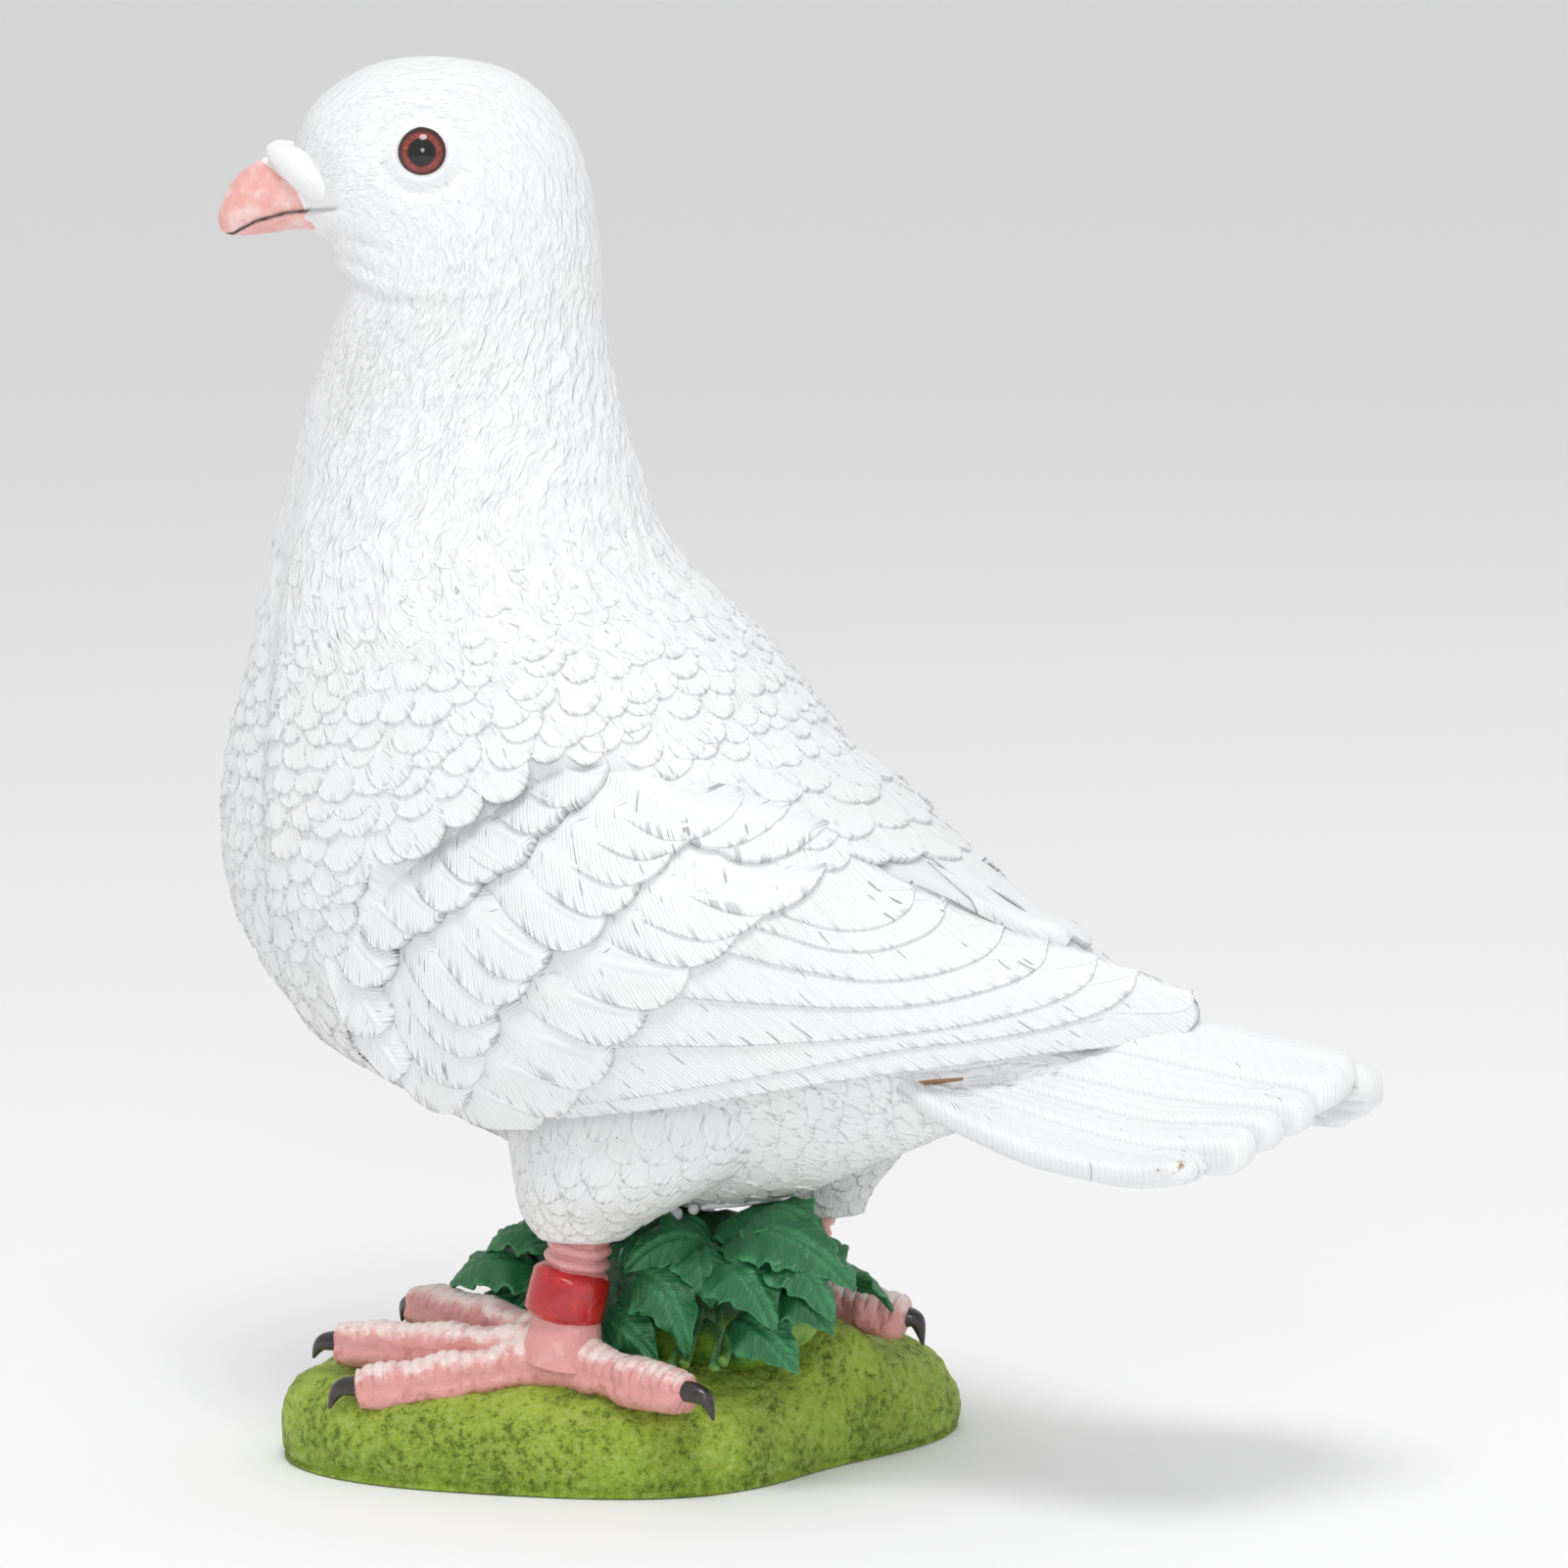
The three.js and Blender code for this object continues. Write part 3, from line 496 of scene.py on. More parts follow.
def glossPaint(name, dark, bright, roughness, coat):
    paint = Paint(name)
    place = paint.place()
    patch = paint.noise(place, 330.0, 3.0, 0.6)
    colour = paint.blend(paint.between(patch, 0.35, 0.7), dark, bright)
    grain = paint.noise(place, 900.0, 2.0)
    return paint.finish(
        patch * 0.6 + grain * 0.15, 0.25,
        {"Base Color": colour, "Roughness": roughness + patch * 0.1, "Coat Weight": coat, "Coat Roughness": 0.08},
    )


eyePaint = {
    "pupil": (0.004, 0.003, 0.004, 1), "iris": (0.17, 0.024, 0.018, 1), "inner": (0.38, 0.075, 0.045, 1),
    "rim": (0.035, 0.006, 0.006, 1), "pupilSize": 2.45, "irisSize": 3.75,
}


# finish holds (distance from the pupil's middle in millimetres, 0, 0)
def eyeLook():
    kit = eyePaint
    paint = Paint("eye_glass")
    away, _, _ = paint.attribute("finish")
    place = paint.place()
    fleck = paint.noise(place, 1500.0, 3.0, 0.7)
    iris = paint.blend(paint.between(fleck, 0.35, 0.7), kit["iris"], kit["inner"])
    colour = paint.blend(paint.between(away, kit["pupilSize"] - 0.2, kit["pupilSize"] + 0.2), kit["pupil"], iris)
    border = paint.between(away + fleck * 0.3, kit["irisSize"] - 0.5, kit["irisSize"] + 0.2)
    colour = paint.blend(border, colour, kit["rim"])
    return paint.finish(fleck, 0.01, {
        "Base Color": colour, "Roughness": 0.05 + fleck * 0.04, "IOR": 1.4,
        "Coat Weight": 0.6, "Coat Roughness": 0.02,
    })


grassPaint = {
    "lime": (0.34, 0.49, 0.034, 1), "yellow": (0.46, 0.60, 0.062, 1), "deep": (0.10, 0.19, 0.012, 1),
    "edge": (0.25, 0.42, 0.024, 1), "pale": (0.58, 0.68, 0.18, 1),
}


# finish holds (pit of the grain, height up the rim, 0)
def grassLook():
    kit = grassPaint
    paint = Paint("painted_grass")
    pit, up, _ = paint.attribute("finish")
    place = paint.place()
    patch = paint.noise(place, 45.0, 3.0, 0.5)
    grain = paint.noise(place, 640.0, 4.0, 0.74)
    fine = paint.noise(place, 1500.0, 3.0, 0.6)
    rough = paint.between(paint.noise(place, 75.0, 3.0, 0.6), 0.38, 0.62)
    colour = paint.blend(paint.between(patch, 0.3, 0.7), kit["lime"], kit["yellow"])
    colour = paint.blend((1.0 - up) * 0.5, colour, kit["edge"])
    dark = paint.between((0.47 - grain) * 5.0 + rough * 0.35 + pit * 0.15, 0.1, 0.9)
    colour = paint.blend(dark * 0.85, colour, kit["deep"])
    colour = paint.blend(paint.between(grain, 0.5, 0.62) * 0.55, colour, kit["pale"])
    height = grain * (3.0 + rough * 2.5) + fine * 0.5
    return paint.finish(height, 0.55, {"Base Color": colour, "Roughness": 0.5 + fine * 0.25})


leafPaint = {
    "green": (0.013, 0.165, 0.052, 1), "light": (0.06, 0.36, 0.12, 1), "deep": (0.003, 0.040, 0.020, 1),
    "lime": (0.22, 0.42, 0.04, 1),
}


# stroke holds (along the side veins, across, chance) and finish (painted highlight on the rim and beside the midrib,
# painted shade, lime end)
def leafLook():
    kit = leafPaint
    paint = Paint("painted_leaves")
    across, along, chance = paint.attribute("stroke")
    pale, shade, lime = paint.attribute("finish")
    place = paint.place()
    patch = paint.noise(place, 190.0, 3.0, 0.6)
    veins = paint.streaks(across * 1.5, along * 0.25, chance, 3.0, 0.6)
    # paler green where the painted highlight lies, and along vein strokes and patches
    lit = paint.between(patch * 0.4 + veins * 0.5 + pale * 0.3, 0.42, 0.85)
    colour = paint.blend(lit, kit["green"], kit["light"])
    colour = paint.blend(shade * 0.8, colour, kit["deep"])
    colour = paint.blend(lime * paint.between(patch, 0.3, 0.6), colour, kit["lime"])
    return paint.finish(
        veins * 1.3 + patch * 0.6, 0.4,
        {"Base Color": colour, "Roughness": 0.30 + patch * 0.2, "Coat Weight": 0.35, "Coat Roughness": 0.15},
    )


white = whiteFeathers()
down = whiteDown()
beakMaterial = beakLook()
skin = legSkin()
bandRed = glossPaint("band_red", (0.42, 0.004, 0.008, 1), (0.62, 0.012, 0.016, 1), 0.22, 0.7)
clawBlack = glossPaint("claw_black", (0.012, 0.009, 0.010, 1), (0.045, 0.032, 0.032, 1), 0.25, 0.5)
eyeGlass = eyeLook()
grass = grassLook()
leaves = leafLook()
print("materials made")

neck = {"turn": np.radians(24), "from": 150, "to": 205, "y": -30}

# Chords of the body from its front or belly to its back: yFront, zFront, yBack, zBack, half width
bodyStations = np.array([
    [-60.6, 214.6, -61.4, 223.6, 5.2], [-57.4, 212.2, -59.0, 230.4, 9.8], [-54.8, 209.8, -54.8, 236.8, 13.4],
    [-53.0, 206.8, -45.4, 242.2, 16.2], [-52.2, 203.8, -33.0, 243.2, 17.8], [-52.4, 200.4, -20.8, 240.0, 18.6],
    [-53.6, 196.6, -11.8, 230.4, 18.8], [-55.0, 191.8, -7.6, 215.6, 19.2], [-57.0, 185.6, -6.4, 200.0, 20.4],
    [-60.0, 177.4, -4.2, 185.6, 23.2], [-63.2, 166.4, -0.4, 173.0, 27.6], [-67.4, 152.4, 6.2, 158.6, 33.0],
    [-71.2, 136.6, 23.6, 143.4, 38.6], [-76.0, 118.6, 40.2, 125.2, 42.6], [-76.0, 99.6, 54.4, 110.0, 44.6],
    [-69.2, 84.2, 65.6, 97.0, 44.6], [-57.4, 73.0, 75.6, 87.6, 42.4], [-40.8, 64.0, 84.4, 84.4, 38.0],
    [-20.2, 55.4, 91.0, 82.6, 32.6], [4.0, 46.2, 96.0, 80.6, 27.4], [29.0, 47.4, 99.6, 79.4, 22.4],
    [46.0, 55.6, 102.0, 78.4, 17.6], [60.0, 64.6, 103.6, 77.0, 12.4],
])


# Turns the head about the upright neck axis, by an angle that grows smoothly with height
def turned(points):
    x, y, z = points[..., 0], points[..., 1] - neck["y"], points[..., 2]
    angle = neck["turn"] * smooth(z, neck["from"], neck["to"])
    across, ahead = x * np.cos(angle) - y * np.sin(angle), x * np.sin(angle) + y * np.cos(angle)
    return np.stack([across, neck["y"] + ahead, z], -1)


# Body before the head is turned: middle of the chord at t plus half the chord times cos(angle), and x is the half
# width times sin(angle), drawn in where the face runs out to the beak
def straightBody(t, angle):
    row = through(bodyStations, t)
    front, back, width = row[..., 0:2], row[..., 2:4], row[..., 4]
    side = (front + back) / 2 + (back - front) / 2 * np.cos(angle)[..., None]
    width = width * (1 - 0.3 * smooth(-side[..., 0], 50, 60) * (1 - smooth(side[..., 1], 222, 236)))
    chin = (1 - smooth(side[..., 1], 211, 218)) * smooth(side[..., 1], 203, 208)
    side[..., 0] += 2.6 * smooth(-side[..., 0], 51, 58) * chin
    return np.stack([width * np.sin(angle), side[..., 0], side[..., 1]], -1)


def bodyPoint(t, angle):
    t, angle = np.broadcast_arrays(t, angle)
    return turned(straightBody(t, angle))


# y, belly edge, back edge, reach to the side, height of that reach, curve-in above and below it
wingStations = np.array([
    [-35.5, 83, 91, 40, 88, 40, 46], [-31, 76.6, 99.4, 41.6, 89, 42, 48], [-20, 68.2, 109, 44.2, 92, 44, 52],
    [-8, 65, 118, 46.2, 93.5, 45, 54], [6, 66.2, 125, 47.2, 94, 46, 56], [22, 69.4, 127.2, 46.8, 92, 44, 54],
    [40, 72.2, 120, 43.4, 88, 37, 46], [54, 74.2, 110, 38, 84, 30, 38], [64, 75.2, 104, 32.4, 82, 25, 30],
    [75, 75.9, 98.4, 25.7, 80, 20, 24], [87, 77.9, 95.2, 15.8, 80, 17, 18], [97, 79.7, 91.7, 8.8, 82, 11.6, 12],
    [107, 82.4, 88.6, 3.8, 84, 7, 8],
])
wing = {
    "thick": 14, "tipThick": 2.4, "sink": 1.0,
    # tip (y, z) of each covert in side view and its heading there in radians, from the back down to the belly edge
    "rows": [
        {"tips": [(12.8, 123, -0.4), (8.4, 119.1, -0.42), (3.5, 112.8, -0.46), (-1, 110, -0.51),
                  (-6.4, 104.5, -0.6), (-12.3, 100.7, -0.57), (-18.4, 97.5, -0.57), (-22.8, 89.9, -0.68),
                  (-24.6, 79.9, -0.98), (-21.5, 72.6, -1.0)],
         "length": 19, "half": 4.8, "sweep": 6.0, "lift": 1.4, "bend": 0.3},
        {"tips": [(46.5, 114.6, -0.46), (41, 117.2, -0.44), (34.7, 118.3, -0.42), (30.3, 116.4, -0.31),
                  (27.4, 112.3, -0.33), (23.4, 106.9, -0.41), (18.1, 100.9, -0.47), (8.2, 94.6, -0.56),
                  (4.3, 89.7, -0.64), (-1.6, 85.7, -0.62), (-2.5, 80.3, -0.70), (-6, 73.8, -0.78),
                  (-9.4, 69.2, -0.74)],
         "length": 24, "half": 5.0, "sweep": 7.5, "lift": 1.3, "bend": 0.42},
        {"tips": [(49.3, 107.7, -0.31), (43.9, 104.8, -0.26), (40.3, 100.9, -0.23), (33, 93.8, -0.24),
                  (25.8, 86.9, -0.26), (19.4, 79.4, -0.28), (12.6, 73.6, -0.30), (4.7, 68, -0.34)],
         "length": 27, "half": 5.4, "sweep": 8.5, "lift": 1.25, "bend": 0.42},
    ],
    # lower edges (y, z) of the flight feathers in side view, the lowest first
    "flights": [
        [(6.3, 66.2), (18, 68.1), (31.6, 70.4), (44.2, 73.0), (54.8, 75.0), (65, 76.5), (75.6, 77.8), (86, 78.9),
         (96.4, 79.9), (105, 81.6), (107.6, 84.6), (106.6, 88.2)],
        [(10, 69.0), (23.2, 71.5), (34.1, 73.8), (44.5, 76.0), (56, 78.5), (67, 80.6), (78, 81.8), (87, 83.4),
         (93.6, 85.9), (97.0, 88.9), (97.3, 91.6)],
        [(14, 79), (24, 80.4), (39, 81.0), (52.5, 81.9), (63.4, 82.7), (73.5, 84.0), (81.7, 85.8), (87.6, 88.0),
         (90.6, 90.6), (90.8, 93.2)],
        [(24, 89), (35.1, 88.8), (45, 88.2), (54, 87.6), (62, 87.4), (70, 88.0), (76.6, 89.5), (81.2, 91.4),
         (83.2, 93.6), (82.4, 96.4)],
        [(30, 98), (38.8, 96.6), (46, 94.6), (53, 93.0), (60, 91.7), (66, 91.8), (71.2, 92.9), (74.6, 94.6),
         (75.6, 96.8), (74.4, 99.2)],
        [(34, 103), (40, 101.4), (46, 99.4), (51.6, 97.4), (56.4, 96.4), (60.6, 96.4), (64, 97.4), (66.4, 98.9),
         (66.9, 101.2), (65.0, 104.0)],
        [(35, 107.5), (40, 105.2), (44.6, 103.0), (48.7, 101.3), (52.4, 100.1), (55.6, 99.6), (58.6, 99.7),
         (61.2, 100.8), (62.4, 103.0), (60.6, 106.4)],
    ],
    # how far each flight feather reaches up, its raised edge, how fast that falls, and how deep the rims go
    "spread": 14.0, "edge": 0.85, "fall": 4.5, "floor": -1.2,
}


def wingValue(column, y):
    knots = wingStations[:, 0]
    return through(wingStations[:, column], np.interp(y, knots, np.arange(len(knots))) / (len(knots) - 1))


# Reach of the folded wing to the side at (y, z): its greatest reach times the height of an ellipse arc
def wingReach(y, z):
    rise = z - wingValue(4, y)
    limit = np.where(rise > 0, wingValue(5, y), wingValue(6, y))
    return wingValue(3, y) * np.sqrt(np.maximum(0.05, 1 - (rise / limit) ** 2))


def wingSurface(side):
    def point(y, z):
        y, z = np.broadcast_arrays(y, z)
        tuck = np.maximum(0, y - 62) if side < 0 else 0 * y
        return np.stack([side * wingReach(y, z), y - 0.14 * tuck, z - 0.05 * tuck], -1)
    return Surface(point, (0.05, 0.05), side)


# The body with the folded wings' fronts standing out of it: its reach grows to the wing's inside the wing's outline
def shoulderPoint(t, angle):
    points = bodyPoint(t, angle)
    x, y, z = points[..., 0], points[..., 1], points[..., 2]
    share = smooth(y, -38, -24) * (1 - smooth(y, 24, 44))
    share = share * smooth(z - wingValue(1, y), -3, 5) * (1 - smooth(z - wingValue(2, y), -2, 4))
    wider = np.maximum(0, wingReach(y, z) + 0.3 - np.abs(x))
    return np.stack([x + np.where(x < 0, -1, 1) * wider * share, y, z], -1)


shoulderSkin = Surface(shoulderPoint, (2e-4, 2e-3), -1)

trunk = {
    "rings": 380, "sides": 240, "eye": (13.4, -36.9, 227.2), "eyeSize": 5.6,
    "lean": 0.22, "tufts": 26, "tuftLift": 0.8, "run": 330,
    # lower edge of the head, and the two ends and the run of the mouth line, as y and z before the head is turned
    "jaw": [(-57, 209.5), (-52, 207.3), (-45, 203.2), (-34.5, 202.3), (-17.5, 203.4), (-6, 207)],
    "gape": [(-60, 216.8), (-55, 217.2), (-51, 217.8)],
}


# Soft tufts of the neck as a height field over (t, angle). A tuft is a leaf shape that climbs along its heading h and
# ends in a step: along = around sin h + down cos h and across = around cos h - down sin h, in millimetres.
def tuftHeights(t, angle, girth, lean):
    kit = trunk
    height = np.zeros(t.shape)
    for number, place in enumerate(np.linspace(0.255, 0.53, kit["tufts"])):
        count = int(mixed(36, 58, (place - 0.255) / 0.275))
        grow = smooth(place, 0.25, 0.5)
        for k in range(count):
            t0 = place + dice.normal(0, 0.004)
            a0 = -np.pi + (k + 0.5 * (number % 2) + dice.normal(0, 0.22)) * 2 * np.pi / count
            h = lean * np.sin(a0) + dice.normal(0, 0.26)
            length = mixed(4.5, 7.5, grow) * dice.uniform(0.7, 1.3)
            half = mixed(0.9, 1.9, grow) * dice.uniform(0.75, 1.3)
            first, last = np.searchsorted(t[:, 0], [t0 - 0.012, t0 + (length + 3) / kit["run"]])
            window = slice(first, last)
            turn = (angle[window] - a0 + np.pi) % (2 * np.pi) - np.pi
            sideways, drop = turn * girth[window], (t[window] - t0) * kit["run"]
            along = sideways * np.sin(h) + drop * np.cos(h)
            across = (sideways * np.cos(h) - drop * np.sin(h)) / half
            end = length * (1 - 0.5 * across**2)
            share = np.clip(along / length, 0, 1)
            body = (0.15 + 0.85 * share) * np.sqrt(np.maximum(0, 1 - across**2)) * smooth(end - along, 0, 0.7)
            lift = kit["tuftLift"] * mixed(0.45, 1.0, grow) * dice.uniform(0.5, 1.15)
            height[window] = np.maximum(height[window], body * lift * smooth(along, -0.5, 1))
    return height


# The skin: the body's surface, closed at both ends, with the tufts of the neck, a groove round each eye, soft folds
# behind the corner of the beak and the head's lower edge. Strokes run down from the beak, leaning forwards on the
# neck: their start angle a0 obeys tan(a0 / 2) = tan(angle / 2) exp(-sum of lean / girth).
def makeSkin():
    kit = trunk
    share = np.linspace(0, 1, kit["rings"])
    t = 0.62 * share + 0.38 * share**3.5
    angle = np.linspace(0, 2 * np.pi, kit["sides"], endpoint=False)
    t, angle = np.meshgrid(t, angle, indexing="ij")
    straight = straightBody(t, angle)
    row = through(bodyStations, t)
    girth = (row[..., 4] + np.hypot(row[..., 2] - row[..., 0], row[..., 3] - row[..., 1]) / 2) / 2
    turn = np.where(angle > np.pi, angle - 2 * np.pi, angle)
    run = t * kit["run"]
    lean = kit["lean"] * smooth(t, 0.24, 0.34) * (1 - smooth(t, 0.5, 0.58))
    leaned = np.cumsum(lean[:, :1] / girth[:, :1] * np.gradient(run[:, :1], axis=0), axis=0)
    start = 2 * np.arctan2(np.sin(turn / 2) * np.exp(-leaned), np.cos(turn / 2))
    around = mixed(girth, 24.0, 0.6) * start
    height = tuftHeights(t, angle, girth, 0.5) * smooth(t, 0.25, 0.3)
    x, y, z = (straight[..., k] for k in range(3))
    bare = 0 * t
    eye = kit["eye"]
    for side in (-1, 1):
        away = np.hypot((y - eye[1]) * 0.94, (z - eye[2]) * 1.04) + 30 * (x * side < 0)
        height = height + 0.45 * np.exp(-((away - 4.6) / 0.5) ** 2) - 0.85 * np.exp(-((away - 6.9) / 1.1) ** 2)
        height = height + 0.6 * np.exp(-((away - 10.0) / 1.8) ** 2) * smooth(z, 226, 236)
        height = height - 1.2 * (1 - smooth(away, 3.2, 4.2))
        bare = bare + 0.8 * (1 - smooth(away, 4.8, 6.4))
    near = (1 - smooth(y, -54, -48)) * (1 - smooth(z, 219, 223))
    line = z - np.interp(y, *np.array(kit["gape"]).T)
    gape = np.exp(-(line / 0.42) ** 2) * (1 - smooth(y, -53, -50.5)) * smooth(np.abs(x), 2, 4)
    height = height - 0.55 * gape + 0.5 * np.exp(-((line + 1.3) / 0.9) ** 2) * near
    for drop, fall, depth in ((2.6, 0.30, 0.5), (5.6, 0.42, 0.45), (8.6, 0.5, 0.3)):
        fold = z - (217.0 - drop - fall * (y + 56))
        height = height - depth * np.exp(-(fold / 0.8) ** 2) * (1 - smooth(y, -48, -38)) * smooth(y, -60, -55)
    bare = np.clip(bare + 0.8 * near, 0, 1)
    away = z - np.interp(y, *np.array(kit["jaw"]).T)
    fade = (1 - smooth(y, -44, -13)) * smooth(t, 0.05, 0.14)
    over = 0.7 * np.exp(-np.maximum(0, away) / 4.5) * smooth(away, -1.3, 1.3)
    height = height + (over - 0.55 * np.exp(-np.maximum(0, -away) / 4.5) * (1 - smooth(away, -1.3, 1.3))) * fade
    under = smooth(y, -33, -22) * smooth(z - wingValue(1, y), 2, 8)
    limit = np.interp(y, [-36, -26, -15, -6, 4, 14, 39, 60], [98, 108, 116.5, 123.5, 128.5, 127.5, 119, 106])
    under = under * smooth(limit - z, 0, 4)
    # and the rump sinks below the root of the tail
    rump = smooth(y, 60, 68) * smooth(np.abs(x), 4, 10) * smooth(z, 68, 73)
    height = height - 3.0 * under - 1.2 * rump
    points = shoulderSkin.raised(t, angle, height)
    ends = [points[0].mean(0), points[-1].mean(0)]
    depth = (0.55 + 0.45 * smooth(t, 0.22, 0.4)) * (1 - 0.8 * bare)
    stroke = np.concatenate([np.stack([around, run, 0 * run], -1).reshape(-1, 3), np.zeros((2, 3))])
    # the second value is the painted shade along the mouth groove
    finish = np.concatenate([np.stack([depth, gape, 0 * t], -1).reshape(-1, 3), np.zeros((2, 3))])
    faces = ringFaces(kit["rings"], kit["sides"], over=False)
    pile = Pile()
    pile.add(np.concatenate([points.reshape(-1, 3), ends]), faces, stroke, finish)
    return pile.make("dove_skin", "dove", [down])


# Border between the small feathers of the shoulder and the wing's coverts, in side view
shoulderEdge = np.array([
    (-20.0, 69.0), (-29.5, 76.5), (-34.5, 87.0), (-32.5, 98.3), (-25.2, 105.8), (-14.4, 113.0), (-5.0, 120.2),
    (5.0, 125.0), (15.0, 125.2), (28.0, 122.0), (39.4, 118.5), (47.0, 114.5), (56.0, 111.0), (80.0, 97.0),
    (107.0, 89.0), (107.0, 81.0), (75.0, 75.0), (54.0, 73.5), (22.0, 69.0), (6.0, 65.8), (-8.0, 64.5),
])


# Whether points of the side view lie inside an outline: the number of its edges crossed on the way up is odd
def inside(outline, y, z):
    odd = np.zeros(y.shape, bool)
    for (y0, z0), (y1, z1) in zip(outline, np.roll(outline, -1, axis=0)):
        crosses = (y0 > y) != (y1 > y)
        odd ^= crosses & (z < z0 + (z1 - z0) * (y - y0) / (y1 - y0 + 1e-12))
    return odd


plumage = {
    "rowStep": 4.0, "fromT": 0.475, "toT": 0.955,
    "scale": {
        "rows": 5, "columns": 9, "tip": 0.42, "rooted": 0.3, "sink": 0.5, "swell": 0.06, "inset": -0.08,
        "depth": 0.65,
    },
}


# Width of the small feathers in millimetres: small on the breast, growing towards the shoulder and the mantle
def featherSize(points):
    y, z = points[..., 1], points[..., 2]
    shoulder = np.exp(-((y + 16) / 27) ** 2 - ((z - 110) / 27) ** 2)
    return 5.3 + 4.2 * shoulder + 1.6 * (1 - smooth(z, 60, 90)) * smooth(y, -50, -20)


# Values at count spots spread evenly over a row whose running total is counted, odd rows shifted by half a step
def spreadRow(counted, count, number, values):
    spots = (np.arange(count) + 0.5 * (number % 2)) * counted[-1] / count
    return np.interp(spots, counted, values)


# Rows of small feathers round the body. Along a row the angle steps by the feather's width, and every other row is
# shifted by half a feather.
def makeScales():
    kit = plumage
    t = np.linspace(kit["fromT"], kit["toT"], 2000)
    angles = np.linspace(-np.pi, np.pi, 1441)
    flank = bodyPoint(t, np.full(t.shape, 2.0))
    travelled = walked(flank)
    rows = np.interp(np.arange(0, travelled[-1], kit["rowStep"]), travelled, t)
    us, vs = [], []
    for number, place in enumerate(rows):
        ring = shoulderPoint(np.full(angles.shape, place), angles)
        step = np.linalg.norm(np.diff(ring, axis=0), axis=1) / (featherSize(ring)[1:] * 0.94)
        counted = np.concatenate([[0], np.cumsum(step)])
        count = int(round(counted[-1]))
        us.append(np.full(count, place))
        vs.append(spreadRow(counted, count, number, angles))
    u, v = np.concatenate(us), np.concatenate(vs)
    u = u + dice.normal(0, 0.0024, u.size)
    v = v + dice.normal(0, 0.016, v.size)
    spot = shoulderPoint(u, v)
    y, z = spot[:, 1], spot[:, 2]
    # behind the shoulder's edge the wing's own feathers take over
    tips = shoulderPoint(np.minimum(u + 0.010, 1), v)
    onWing = inside(shoulderEdge, tips[:, 1], tips[:, 2]) & (np.abs(spot[:, 0]) > 10)
    onBack = (y > 44) & (z > 100) | (y > 60) & (z > 70.5)
    keep = ~onWing & ~onBack
    u, v, spot = u[keep], v[keep], spot[keep]
    x, y, z = spot.T
    size = featherSize(spot) * dice.uniform(0.85, 1.15, u.size)
    heading = 0.32 * smooth(y, -62, -25) * (1 - smooth(y, 20, 45)) * np.sign(x) * smooth(np.abs(x), 8, 24)
    heading = heading + dice.normal(0, 0.14, u.size)
    lift = 0.34 + 0.03 * size + dice.normal(0, 0.09, u.size)
    lift = lift * (0.6 + 0.4 * smooth(z, 56, 80)) * mixed(0.35, 1.0, smooth(u, 0.475, 0.56))
    pile = Pile()
    smallFeathers(pile, shoulderSkin, u, v, heading, 2.4 + size * 0.8, size * 0.56, lift, kit["scale"])
    return pile.make("small_feathers", "dove", [white])


# Strokes of a feather whose barbs leave its shaft at an angle: the distance across the barbs is
# (along - aside / tan(angle)) x sin(angle), and the distance along them aside / sin(angle)
def barbStroke(along, aside, angle):
    turn = np.radians(angle)
    phase = (along - aside / np.tan(turn)) * np.sin(turn)
    return np.stack([phase, aside / np.sin(turn), 0 * aside + dice.uniform(0, 90)], -1)


# Depth of the barbs, which fade out beside the shaft
def barbFade(aside):
    return 0.3 + 0.7 * smooth(np.abs(aside), 0.6, 1.4)


# Puts one feather of a wing into the pile: points (y, z) of the side view with their heights over the wing, and a rim
# that folds down into it all round
def layOnWing(pile, surface, place, height, along, aside, angle, fringe):
    y = place[..., 0]
    most = wingValue(2, y) + 0.3 + 5 * (1 - smooth(y, 12, 24)) + 5 * (1 - smooth(y, -10, 8))
    z = np.clip(place[..., 1], wingValue(1, y) - 1.0, most)
    along, aside = (np.pad(values, 1, mode="edge") for values in (along, aside))
    spot = np.pad(np.stack([y, z], -1), ((1, 1), (1, 1), (0, 0)), mode="edge")
    for _ in range(2):
        spot[0] += 0.16 * unit(spot[1] - spot[2])
        spot[-1] += 0.16 * unit(spot[-2] - spot[-3])
        spot = np.swapaxes(spot, 0, 1)
    y, z = spot[..., 0], np.minimum(spot[..., 1], np.pad(most, 1, mode="edge"))
    skirt = np.pad(np.zeros(height.shape), 1, constant_values=1.0)
    height = np.where(skirt > 0, wing["floor"], np.pad(height, 1, mode="edge"))
    fringe = np.pad(fringe, 1, mode="edge")
    # painted shade on the rim that folds down along the lower edge and the tip
    finish = np.stack([barbFade(aside), skirt * np.minimum(1, 3 * fringe), -fringe], -1)
    faces = [gridFaces(*y.shape), rimLoop(*y.shape)[None, :]]
    pile.add(surface.raised(y, z, height), faces, barbStroke(along, aside, angle), finish)


